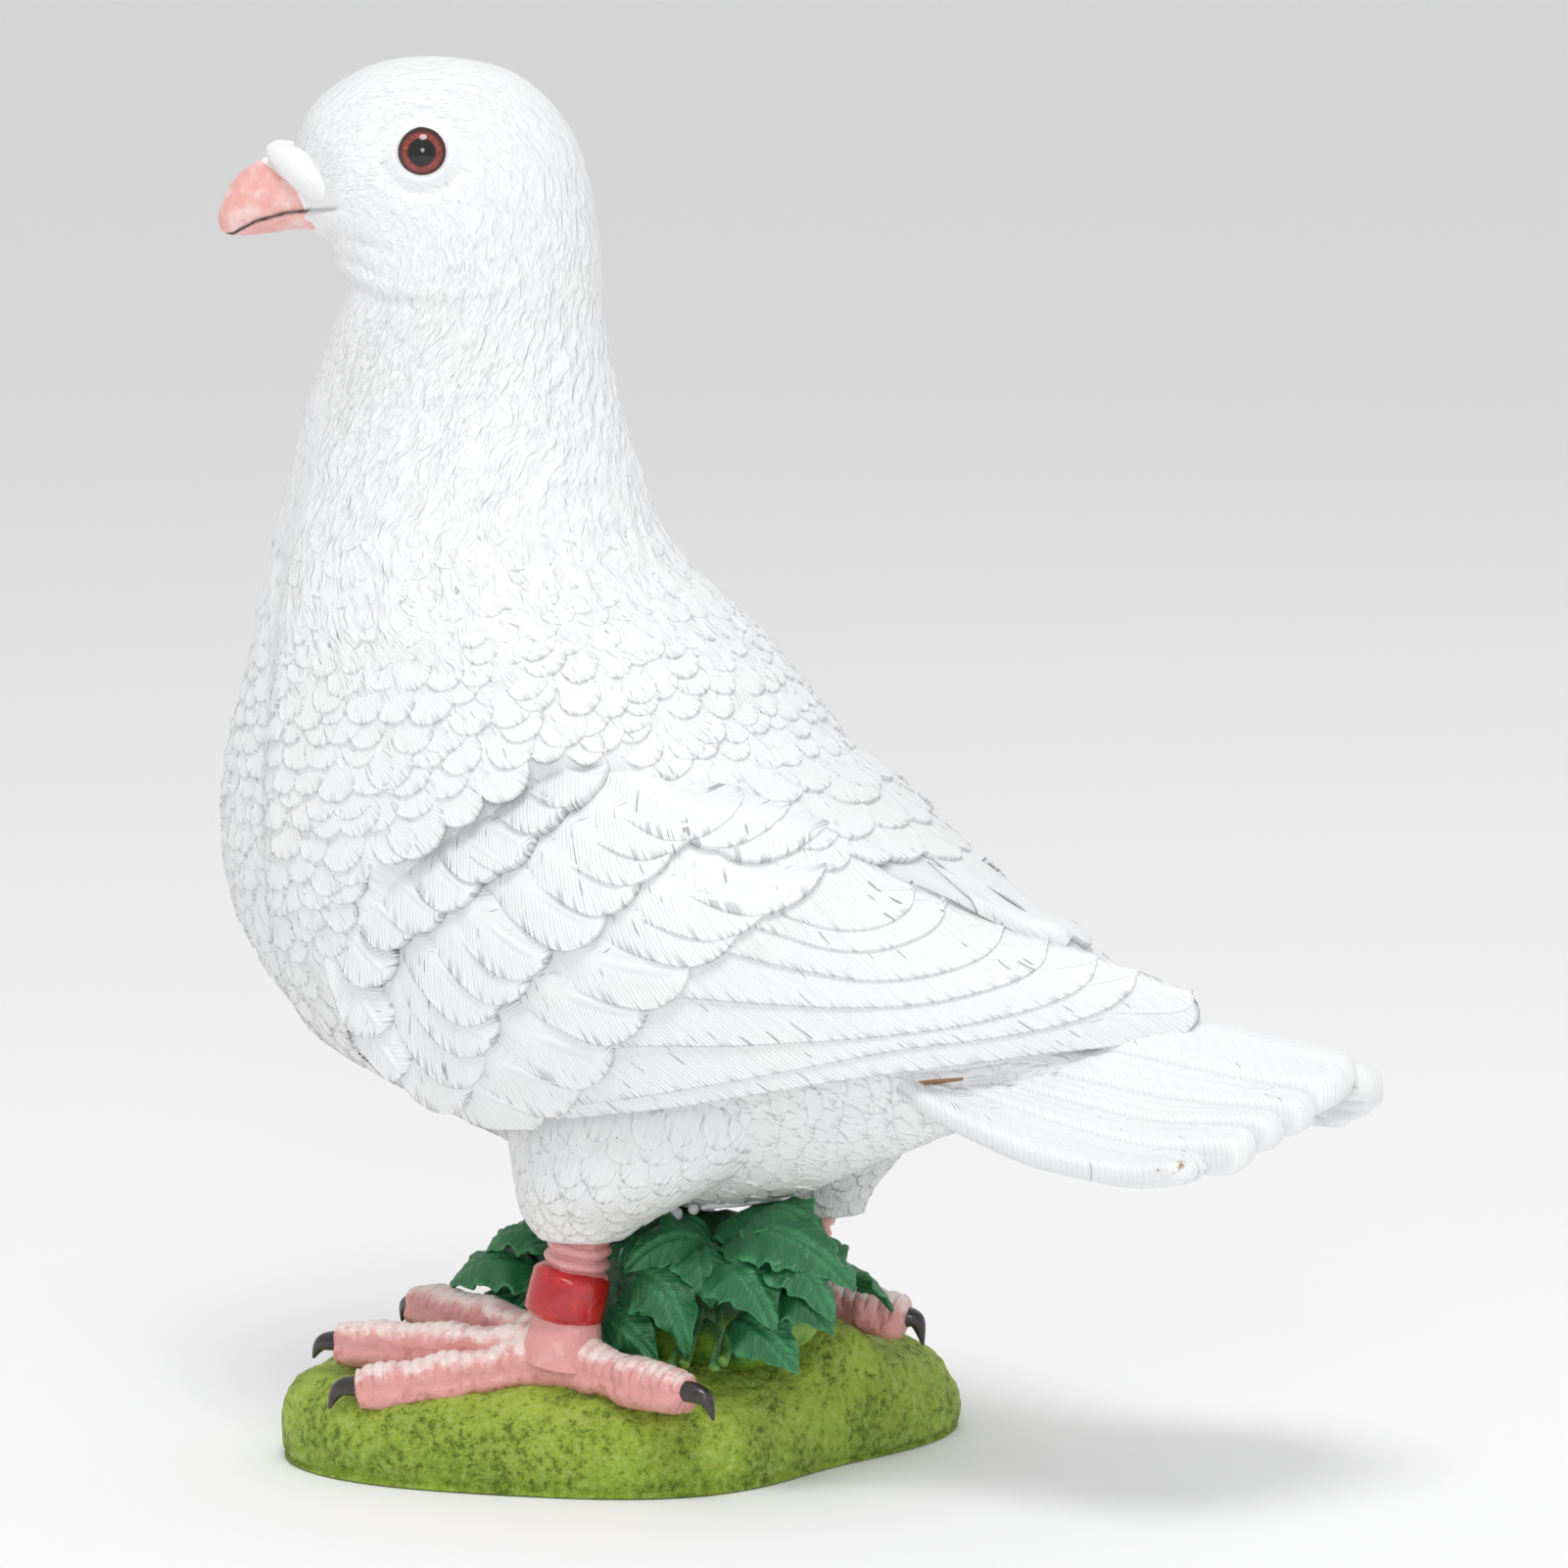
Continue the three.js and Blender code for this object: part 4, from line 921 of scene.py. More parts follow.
# A covert: its middle line is laid back from the tip, turning steadily by bend. The end is pulled back from the tip
# by a long quarter ellipse on the lower side (c below crown) and a short one above. The height climbs to the tip and
# to the lower edge, with a fine raised shaft between two grooves.
def addCovert(pile, surface, tip, heading, row, columns):
    crown, shaftAt = 0.3, 0.16
    s = 1 - (1 - np.linspace(0, 1, 24)[:, None]) ** 1.5
    c = columns[None, :]
    length = row["length"] * dice.uniform(0.94, 1.05)
    half = row["half"] * (0.8 + 0.2 * smooth(s, 0, 0.4)) * dice.uniform(0.96, 1.04)
    turn = heading + dice.normal(0, 0.025) + row["bend"] * (s - 0.72)
    forward = np.stack([np.cos(turn), np.sin(turn)], -1)[:, 0]
    steps = (forward[1:] + forward[:-1]) / 2 * np.diff(s, axis=0) * length
    centre = np.array(tip) - (steps.sum(0) - np.concatenate([[[0, 0]], np.cumsum(steps, axis=0)]))
    over = np.stack([-forward[:, 1], forward[:, 0]], -1)
    share = np.where(c < crown, (crown - c) / (1 + crown), (c - crown) / (1 - crown))
    pulled = np.where(c < crown, row["sweep"], 2.2) * (1 - np.sqrt(np.maximum(0, 1 - share**2)))
    pulled = pulled * smooth(s, 0.25, 1)
    place = centre[:, None] + over[:, None] * (half * (c - crown))[..., None] - forward[:, None] * pulled[..., None]
    mm = half * (c - shaftAt)
    shaft = 0.36 * np.exp(-(mm / 0.34) ** 2) - 0.22 * np.exp(-((np.abs(mm) - 0.9) / 0.36) ** 2)
    shaft = shaft * smooth(s, 0.4, 0.58) * (1 - smooth(s, 0.84, 0.98))
    rise = mixed(-0.9, 0.1, smooth(s, 0, 0.45)) + (row["lift"] - 0.1) * smooth(s, 0.35, 1.05)
    height = rise - 0.4 * c * smooth(s, 0.2, 0.6) - 0.6 * smooth(c, 0.3, 1) + 0.2 * (1 - c * c) + shaft
    fringe = 1 - smooth(np.minimum(half * (1 + c), (1 - s) * length), 0.0, 1.8)
    layOnWing(pile, surface, place, height, s * length - pulled, np.abs(mm), 50, fringe)


# A flight feather: from its lower edge a sheet reaches up under the next feather, its height over the wing falling as
# edge x exp(-distance / fall). Its shaft comes out near the tip as a thin rod.
def addFlight(pile, surface, side, edge):
    kit = wing
    s = np.linspace(0, 1, 64)
    line = through(edge, s)
    back, up = unit(np.array([-0.38, 1.0]))
    most = np.full(s.shape, kit["spread"])
    for _ in range(8):
        most = np.minimum(kit["spread"], (wingValue(2, line[:, 0] + back * most) + 0.2 - line[:, 1]) / up)
    share = np.concatenate([np.linspace(0, 0.5, 11), np.linspace(0.5, 1, 7)[1:]]) ** 1.25
    share = share if side > 0 else share[::-1]
    far = np.maximum(most, 0.4)[:, None] * share
    place = line[:, None] + far[..., None] * [back, up]
    height = kit["edge"] * np.exp(-far / kit["fall"]) - 0.25
    fringe = 0.7 * (1 - smooth(far, 0, 1.5))
    along = walked(line)[:, None] + 0 * far
    layOnWing(pile, surface, place, height, along, kit["spread"] - far, 56, fringe)
    # the rod starts a little above the lower edge at the tip and climbs away from it towards the root
    back = np.linspace(0, 1, 12)
    spot = through(edge, 0.97 - 0.25 * back) + np.stack([-0.5 - 2.5 * back, 0.8 + 5.0 * back], -1)
    z = np.minimum(spot[:, 1], wingValue(2, spot[:, 0]) - 0.4)
    rod = surface.raised(spot[:, 0], z, kit["edge"] * np.exp(-(0.8 + 5.0 * back) / kit["fall"]) - 0.4)
    tube(pile, rod, [0.28, 0.36, 0.42, 0.3], 24, 6)


def makeWing(side, name):
    kit = wing
    surface = wingSurface(side)
    pile = Pile()
    # plain plate: the outer surface and the same surface moved in by its thickness, joined round the rim
    y = np.linspace(-35.5, 105, 120)
    share = np.linspace(0, 1, 34)
    yy, ss = np.meshgrid(y, share, indexing="ij")
    inset = 3.6 * (1 - np.sqrt(1 - np.clip((yy - 100) / 5.05, 0, 1) ** 2))
    zz = mixed(wingValue(1, yy) + 0.6 + inset * 0.6, wingValue(2, yy) - 0.3 - inset, ss)
    rim = np.minimum(1, 6 * np.minimum(np.minimum(ss, 1 - ss), (1 - (yy - y[0]) / (y[-1] - y[0])) * 2 + 0.02)) ** 0.5
    thick = mixed(kit["thick"], kit["tipThick"], smooth(yy, 30, 84))
    outer = surface.raised(yy, zz, -kit["sink"] - 0.15 * (1 - rim))
    inner = surface.point(yy, zz)
    inner[..., 0] -= side * thick
    stroke = np.stack([yy * 0.8 - zz * 0.6, yy * 0.6 + zz * 0.8, 0 * yy], -1)
    # the plate, which shows only between the feathers, takes a little painted shade
    pile.slab(outer, inner, stroke, [0.6, 0.15, 0.0], over=side > 0)
    # shares across a covert, closer together beside its shaft
    columns = [-90, -77, -64, -52, -41, -31, -22, -14, -7, 0, 5, 10, 15, 20, 26, 34, 44, 56, 72, 90]
    columns = np.sin(np.radians(columns))[::side]
    for edge in kit["flights"]:
        addFlight(pile, surface, side, edge)
    # the rearmost row first, so that each row lies over the next
    for row in reversed(kit["rows"]):
        for y, z, heading in row["tips"]:
            addCovert(pile, surface, (y, z), heading + 0.1, row, columns)
    return pile.make(name, "dove", [white])


saddle = {
    "from": 34, "to": 93, "valley": 4.6, "sinkTop": 0.8,
    "end": {
        "rows": 12, "columns": 15, "tip": 0.34, "rooted": 0.85, "sink": 0.8, "swell": 0.2, "inset": 0.12,
        "depth": 0.8,
    },
    "long": {
        "rows": 34, "columns": 15, "tip": 0.16, "rooted": 0.9, "sink": 0.6, "swell": 0.3, "inset": 0.12,
        "depth": 0.9,
    },
    # x and y of the tip, length, half width, lift
    "scapulars": [
        (29.0, 48.6, 24, 5.2, 0.6), (23.8, 52.4, 24, 5.6, 0.6), (23.4, 49.2, 24, 6.4, 0.9), (15.5, 52.2, 20, 6.6, 1.0),
        (21.5, 41.4, 12, 4.6, 1.0), (14.2, 43.6, 12, 5.0, 1.0), (6.5, 49.0, 16, 8.0, 1.1),
    ],
    "mantle": [
        (0.0, 62.8, 19, 6.6, 0.5), (9.5, 59.4, 19, 6.6, 0.6), (16.0, 56.6, 18, 5.4, 0.5), (-9.5, 61.0, 19, 6.6, 0.5),
        (-17.0, 58.0, 18, 6.4, 0.5), (-22.5, 53.5, 18, 6.0, 0.5), (4.8, 54.6, 18, 7.0, 0.7), (-5.6, 55.0, 18, 7.0, 0.7),
        (-14.0, 51.6, 17, 6.6, 0.6), (0.2, 47.4, 16, 7.0, 0.9), (-10.4, 45.6, 16, 7.0, 0.8), (-19.5, 46.0, 16, 6.2, 0.6),
    ],
    "tertials": [
        (-8.0, 81.0, 36, 4.6, 0.5), (-3.0, 86.0, 40, 4.4, 0.6), (2.0, 84.0, 36, 4.0, 0.5), (6.6, 76.6, 28, 3.2, 0.4),
    ],
}


# How far out the wing's top edge lies at y
def wingRim(y):
    rise = (wingValue(2, y) - wingValue(4, y)) / wingValue(5, y)
    return wingValue(3, y) * np.sqrt(np.maximum(0.05, 1 - rise**2))


# Height of the back over (y, x): the ellipse of the wings' tops carried on across the middle, with a valley along the
# left wing and a drop at the rear end
def saddleTop(y, x):
    share = np.minimum(0.97, np.abs(x) / wingValue(3, y))
    top = wingValue(4, y) + wingValue(5, y) * np.sqrt(1 - share**2)
    rim = wingRim(y)
    valley = saddle["valley"] * smooth(x, rim - 5.6, rim - 2.6) * smooth(y, 57, 62)
    return top - valley * (1 - smooth(x, rim - 1, rim + 1)) - 8.5 * smooth(y, 80, 93)


def makeBack():
    kit = saddle
    pile = Pile()

    def point(y, x):
        y, x = np.broadcast_arrays(y, x)
        return np.stack([x, y, saddleTop(y, x)], -1)

    surface = Surface(point, (0.05, 0.05), -1)
    rows, columns = 70, 46
    y = np.linspace(kit["from"], kit["to"], rows)[:, None]
    rim = wingRim(y)
    close = 1 - 0.3 * smooth(y, 80, 93) ** 2
    share = np.linspace(0, 1, columns)[None, :]
    x = mixed(-(rim + 3) * close, (rim - 0.8) * close, share)
    y = y + 0 * x
    top = saddleTop(y, x) - kit["sinkTop"] - 1.5 * (1 - np.minimum(1, 8 * share * (1 - share)))
    low = np.minimum(top - 2, np.where(y > 60, tailTop(x, y) - 2.5, top - 9))
    upper, lower = np.stack([x, y, top], -1), np.stack([x, y, low], -1)
    # the plate, which shows only between the feathers, takes a little painted shade
    pile.slab(upper, lower, np.stack([x * 1.2, y, 0 * x], -1), [0.5, 0.2, 0.0], over=False)
    for group, plan in (("tertials", "long"), ("mantle", "end"), ("scapulars", "end")):
        x, y, length, half, lift = np.array(kit[group]).T
        heading = np.arctan(-0.012 * x)
        plan = kit[plan]
        middle = y - length * (1 - plan["rooted"])
        smallFeathers(pile, surface, middle, x, heading, length, half, lift, plan)
    return pile.make("back_feathers", "dove", [white])


tail = {
    "from": 52, "halfWidth": 36, "thick": 4.4, "step": 1.0, "tuck": 0.05,
    # borders between the feathers as shares of the half width, from the far side to the near one, and their tips' y
    "borders": [-1, -0.76, -0.60, -0.46, -0.30, -0.12, 0.30, 0.46, 0.60, 0.76, 1],
    "tips": [118, 126, 131.5, 134.8, 136.8, 135.2, 131.9, 128.4, 125.5, 119.4],
    # height of the top at these y (one row each) and these shares of the half width (one column each)
    "y": [52, 61, 70, 80, 90, 107, 120, 137], "share": [0, 0.30, 0.46, 0.60, 0.76, 1],
    "z": [
        [95.3, 88, 84, 82, 81, 79], [93.3, 84.8, 80.8, 79, 77.8, 75], [91.7, 82.2, 78.4, 75.9, 73.8, 71],
        [89.7, 80.8, 76.2, 73.6, 71.4, 67.8], [87.7, 79.3, 74.6, 71.8, 69.1, 65],
        [84.3, 77.2, 72.5, 69.5, 66.4, 63.6], [81.9, 75.6, 72.4, 70.3, 67.0, 65.0],
        [79.4, 74.9, 72.6, 70.6, 67.6, 66.0],
    ],
}


# Half the width of the tail, which opens towards its tip
def tailFan(y):
    return tail["halfWidth"] * (1 - 0.36 * np.maximum(0, (112 - y) / 60) ** 2)


# Height of the top of the tail: the table's rows blended along y and each row's columns across, both as smooth curves
def tailTop(x, y):
    kit = tail
    table = np.array(kit["z"], float)
    row = through(table, np.interp(y, kit["y"], np.linspace(0, 1, len(kit["y"]))))
    share = np.minimum(1, np.hypot(x / tailFan(y), 0.04) - 0.02)
    below = np.clip(np.searchsorted(kit["share"], share) - 1, 0, len(kit["share"]) - 2)
    knots = np.array(kit["share"])
    part = np.clip((share - knots[below]) / (knots[below + 1] - knots[below]), 0, 1)
    slope = np.gradient(row, knots, axis=-1)
    low, high, a, b = (np.take_along_axis(values, at[..., None], -1)[..., 0]
                       for values, at in ((row, below), (row, below + 1), (slope, below), (slope, below + 1)))
    wide = knots[below + 1] - knots[below]
    curve = low * (1 + 2 * part) * (1 - part) ** 2 + high * part**2 * (3 - 2 * part)
    return curve + wide * (a * part * (1 - part) ** 2 - b * part**2 * (1 - part))


# Each tail feather is a slab tucked under its neighbour nearer the middle, with its outer edge raised by a step and
# its end drawn back by lobe x (1 - sqrt(1 - f^2)). Top and bottom close in a rounded rim.
def makeTail():
    kit = tail
    pile = Pile()
    rows, columns = 80, 19
    s = 1 - (1 - np.linspace(0, 1, rows)[:, None]) ** 1.3
    f = np.sin(np.radians(np.linspace(-90, 90, columns)))[None, :]
    for first, last, tip in zip(kit["borders"][:-1], kit["borders"][1:], kit["tips"]):
        side = 0 if first * last < 0 else np.sign(first + last)
        inner, outer = (first, last) if side >= 0 else (last, first)
        start = inner - side * kit["tuck"]
        share = mixed(start, outer, (f + 1) / 2)
        if side < 0:
            share = share[:, ::-1]
        rise = (share - inner) / (outer - inner) if side else 0.5 + 0.5 * np.abs(f)
        wide = abs(outer - start) * kit["halfWidth"] / 2
        y = mixed(kit["from"], tip - min(5, 0.9 * wide) * (1 - np.sqrt(1 - f**2)), s)
        fan = tailFan(y)
        x = fan * share
        mm = x - fan * (start + outer) / 2
        shaft = 0.3 * np.exp(-(mm / 0.35) ** 2) - 0.2 * np.exp(-((np.abs(mm) - 0.9) / 0.35) ** 2)
        shaft = shaft * (1 - smooth(s, 0.86, 0.96)) * (wide > 2.5)
        step = kit["step"] * (1 + 0.8 * smooth(s, 0.8, 1))
        top = tailTop(x, y) + step * (rise - 0.5) - 0.8 * smooth(-rise, 0, 0.3) + shaft
        outermost = outer in (-1, 1)
        thick = kit["thick"] * (0.86 + (0.1 if outermost else 0.6) * smooth(s, 0.7, 0.95))
        away = fan * np.minimum(np.abs(share - start), np.abs(share - outer))
        rim = np.sqrt(np.maximum(0, 1 - np.clip((s - 0.955) / 0.045, 0, 1) ** 2))
        rim = rim * np.sqrt(np.maximum(0, 1 - np.clip(1 - away / 1.5, 0, 1) ** 2.5))
        upper, lower = top - thick / 2 * (1 - rim), top - thick / 2 * (1 + rim)
        depth = 0.85 * barbFade(mm)
        stain = smooth(s, 0.87, 0.96) * (1.0 if outermost else 0.3)
        # painted shade along each feather's side edges, on top and underneath
        recessShade = 0.35 * (1 - smooth(away, 0.0, 0.5))
        finish = np.stack(np.broadcast_arrays(depth, recessShade, stain), -1)
        # x grows with the column and y with the row, so a row crossed with a column points down
        upper, lower = np.stack([x, y, upper], -1), np.stack([x, y, lower], -1)
        pile.slab(upper, lower, barbStroke(y, np.abs(mm), 42), finish, finish * [0.8, 1, 1], over=False)
    # bare resin in the joint between the wing and the tail
    joint = np.linspace([27.0, 61.8, 73.3], [22.6, 73.0, 74.6], 4)
    tube(pile, joint, [0.3, 0.5, 0.5, 0.3], 20, 8, finish=lambda step, angle, t: [0 * t, 0 * t, 3.0 + 0 * t])
    return pile.make("tail_feathers", "dove", [white])


beak = {
    # y, top, bottom, half width, before the head is turned
    "stations": np.array([
        [-49.0, 226.0, 212.4, 8.4], [-54.0, 226.0, 212.8, 7.9], [-59.0, 226.2, 213.6, 7.1], [-63.6, 226.4, 212.9, 6.1],
        [-68.4, 224.0, 212.4, 4.8], [-71.3, 220.7, 212.6, 3.4], [-72.7, 217.4, 213.4, 1.8],
    ]),
    "mouth": [
        (-73, 212.3), (-70.5, 212.8), (-68.9, 213.7), (-66.3, 215.1), (-61, 216.6), (-57.2, 217.0), (-50, 217.8),
    ],
    # back edge of the pink paint, as z and y
    "border": [
        (212.4, -55.2), (215, -56.6), (217.6, -57.8), (220.3, -59.0), (222.2, -61.0), (224, -63.2), (226, -66.2),
    ],
    "ends": [(0, -49.0, 219.2), (0, -73.2, 215.4)],
    "cere": {"middle": (7.6, -57.4, 223.6), "size": (3.2, 8.9, 3.3), "pitch": -0.53, "yaw": 0.5},
}


# The beak: ellipses about its middle line, with the mouth as a groove, and the swollen lobe over each nostril as an
# ellipsoid turned by its pitch and yaw
def makeBeak():
    kit = beak
    pile = Pile()
    rows, sides = 80, 96
    t = np.linspace(0, 1, rows)
    row = through(kit["stations"], t)
    angle = np.linspace(0, 2 * np.pi, sides, endpoint=False)
    middle, rise = (row[:, 1] + row[:, 2]) / 2, (row[:, 1] - row[:, 2]) / 2
    x = row[:, 3:4] * np.sin(angle) * (1 - 0.12 * np.cos(angle))
    z = middle[:, None] + rise[:, None] * np.cos(angle)
    y = row[:, 0:1] + 0 * x
    line = z - np.interp(y, *np.array(kit["mouth"]).T)
    gap = np.exp(-(line / 0.3) ** 2) * (t < 0.985)[:, None]
    base = np.stack([x, y, z], -1)
    pressed = 0.45 * gap + 0.3 * smooth(-line, 0, 0.5) - 0.14 * cloud(base, 2.4, 6)
    points = base - np.stack([np.sin(angle) * pressed, 0 * z, 0 * z], -1)
    pink = smooth(np.interp(z, *np.array(kit["border"]).T) - y, -0.7, 0.7)
    # the second value is the painted shade along the mouth groove
    finish = np.stack([pink, np.clip(gap * 1.4, 0, 1), 0 * pink], -1).reshape(-1, 3)
    finish = np.concatenate([finish, [[0, 0, 0], [1, 0, 0]]])
    points = np.concatenate([points.reshape(-1, 3), kit["ends"]])
    pile.add(turned(points), ringFaces(rows, sides), None, finish)
    lat = np.linspace(0, np.pi, 34)
    lon = np.linspace(0, 2 * np.pi, 48, endpoint=False)
    la, lo = np.meshgrid(lat, lon, indexing="ij")
    lobe = kit["cere"]
    a, b, c = lobe["size"]
    pitch, yaw = lobe["pitch"], lobe["yaw"]
    for side in (-1, 1):
        ball = np.stack([a * np.sin(la) * np.cos(lo), b * np.cos(la), c * np.sin(la) * np.sin(lo)], -1)
        # the rear lower end is a little thicker
        ball = ball * (1 + 0.14 * np.cos(la)[..., None] * [1, 0, 1])
        yy = ball[..., 1] * np.cos(pitch) - ball[..., 2] * np.sin(pitch)
        zz = ball[..., 1] * np.sin(pitch) + ball[..., 2] * np.cos(pitch)
        out = ball[..., 0] * np.cos(yaw) + side * yy * np.sin(yaw)
        back = yy * np.cos(yaw) - side * ball[..., 0] * np.sin(yaw)
        spot = np.stack([out, back, zz], -1) + np.array(lobe["middle"]) * [side, 1, 1]
        spot = spot + 0.14 * cloud(spot, 2.2, 4)[..., None]
        ball = np.concatenate([spot[1:-1].reshape(-1, 3), spot[:1, 0], spot[-1:, 0]])
        pile.add(turned(ball), ringFaces(32, 48, over=False))
    return pile.make("beak", "dove", [beakMaterial])


# A dome: a sphere in rings about the outward axis, with each ring's distance from the pupil's middle kept for its
# paint
def makeEye(side, name):
    radius = trunk["eyeSize"]
    centre = turned(np.array(trunk["eye"]) * [side, 1, 1])
    top = turned(np.array(trunk["eye"]) * [side, 1, 1] + [side, 0, 0])
    out = unit(top - centre)
    out = unit(out + np.array([0, 0, 0.06]))
    aside = unit(np.cross(out, [0, 0, 1.0]))
    over = np.cross(aside, out)
    la, lo = ballAngles(40, 64)
    ball = np.stack([np.cos(la), np.sin(la) * np.cos(lo), np.sin(la) * np.sin(lo)], -1)
    points = centre + radius * (ball @ np.array([out, aside, over]))
    poles = [centre + radius * out, centre - radius * out]
    away = np.concatenate([(radius * np.sin(np.minimum(la, np.pi / 2))).ravel(), [0, radius]])
    finish = np.stack([away, 0 * away, 0 * away], -1)
    pile = Pile()
    pile.add(np.concatenate([points.reshape(-1, 3), poles]), ringFaces(40, 64, over=False), None, finish)
    return pile.make(name + "_dome", name, [eyeGlass])


legs = {
    "left": (25.0, 0.0), "right": (-22.5, 24.6), "lift": 2.6, "shank": (5.5, 4.5), "band": 6.7, "toe": 3.7, "claw": 1.5,
    # y of each leg's axis at 34 mm and its slope
    "lean": ((1.6, 0.16), (23.0, 0.30)),
    "leftToes": [
        ([[0, 0, 22.2], [5, 12, 19.6], [10.4, 24, 17.6], [14, 32.6, 16.4]], [15, 37.8, 12.4]),
        ([[0, 0, 22.6], [1, 15, 22.4], [2, 30, 22.0], [2.4, 42, 21.6]], [2.4, 47.4, 18.2]),
        ([[0, 0, 22.8], [-6, 12, 24.4], [-11.4, 25, 25.6], [-15, 36, 25.8]], [-16.4, 39.6, 22]),
        ([[0, -1, 21.6], [3.4, -11, 20.4], [6.4, -20, 19.8], [8.6, -26.6, 19.6]], [9.4, -32.4, 15.2]),
    ],
    "rightToes": [
        ([[0, 0, 23.6], [6, 11, 21.6], [11, 21, 19.8], [14, 29, 18.6]], [15.4, 32.6, 14.8]),
        ([[0, 0, 24], [1.4, 14, 23.4], [2.6, 28, 22.8], [3.4, 40, 22.0]], [3.6, 44.4, 18.2]),
        ([[0, 0, 24], [-5, 11, 24.2], [-10, 22, 24], [-13.4, 31, 23.6]], [-15, 35, 20]),
        ([[0, -1, 24.6], [0.4, -8, 25], [0.8, -14, 24.4], [1.2, -18.4, 23.4]], [1.8, -21.4, 18.6]),
    ],
}


# Feathered thigh: ellipses about a centre that rises into the belly
def thighSurface(foot, lift, reach):
    side = np.sign(foot[0])
    x, y = foot
    table = np.array([
        [x - 3 * side, y + 0.56 * reach, 70, 15, reach],
        [x - 1.5 * side, y + 0.5 * reach, 60, 14.6, 0.88 * reach],
        [x, y + 0.34 * reach, 52.5, 12.4, 4 + 0.5 * reach],
        [x, y + 0.18 * reach, 47 + 0.5 * lift, 9.6, 5.8 + 0.23 * reach],
        [x, y + 2 + 0.05 * reach, 43.0 + lift, 7.2, 7.4],
    ])

    def point(t, angle):
        t, angle = np.broadcast_arrays(t, angle)
        row = through(table, t)
        x, y, z, wide, deep = (row[..., k] for k in range(5))
        return np.stack([x + wide * np.cos(angle), y + deep * np.sin(angle), z], -1)

    return Surface(point, (1e-3, 1e-3))


def makeThighs():
    pile = Pile()
    kit = dict(plumage["scale"], rows=4, columns=7)
    for foot, lift, reach in ((legs["left"], 0, 27), (legs["right"], -1.6, 16)):
        surface = thighSurface(foot, lift, reach)
        rows, sides = 60, 96
        t = np.linspace(0, 1, rows)
        angle = np.linspace(0, 2 * np.pi, sides, endpoint=False)
        t, angle = np.meshgrid(t, angle, indexing="ij")
        base = surface.point(t, angle)
        points = surface.raised(t, angle, 0.25 * cloud(base * [0.5, 0.5, 0.18], 1.0, 6))
        ends = [points[0].mean(0), points[-1].mean(0) - [0, 0, 0.6]]
        around = np.where(angle > np.pi, angle - 2 * np.pi, angle) * 11
        stroke = np.concatenate([np.stack([around, t * 40, 0 * t], -1).reshape(-1, 3), np.zeros((2, 3))])
        # the skin under the thigh feathers takes a little painted shade
        finish = np.tile([0.9, 0.1, 0.0], (len(stroke), 1))
        pile.add(np.concatenate([points.reshape(-1, 3), ends]), ringFaces(rows, sides), stroke, finish)
        us, vs = [], []
        for number, place in enumerate(np.linspace(0.06, 0.9, 9)):
            turns = np.linspace(0, 2 * np.pi, 721)
            counted = walked(surface.point(np.full(turns.shape, place), turns))
            count = int(counted[-1] / mixed(6.4, 4.2, place))
            us.append(np.full(count, place))
            vs.append(spreadRow(counted, count, number, turns))
        u = np.concatenate(us) + dice.normal(0, 0.008, sum(map(len, us)))
        v = np.concatenate(vs) + dice.normal(0, 0.04, u.size)
        size = mixed(6.6, 4.4, u) * dice.uniform(0.85, 1.15, u.size)
        smallFeathers(pile, surface, u, v, dice.normal(0, 0.14, u.size), size * 1.35, size * 0.55, 0.16 + 0 * u, kit)
    return pile.make("thighs", "dove", [white])


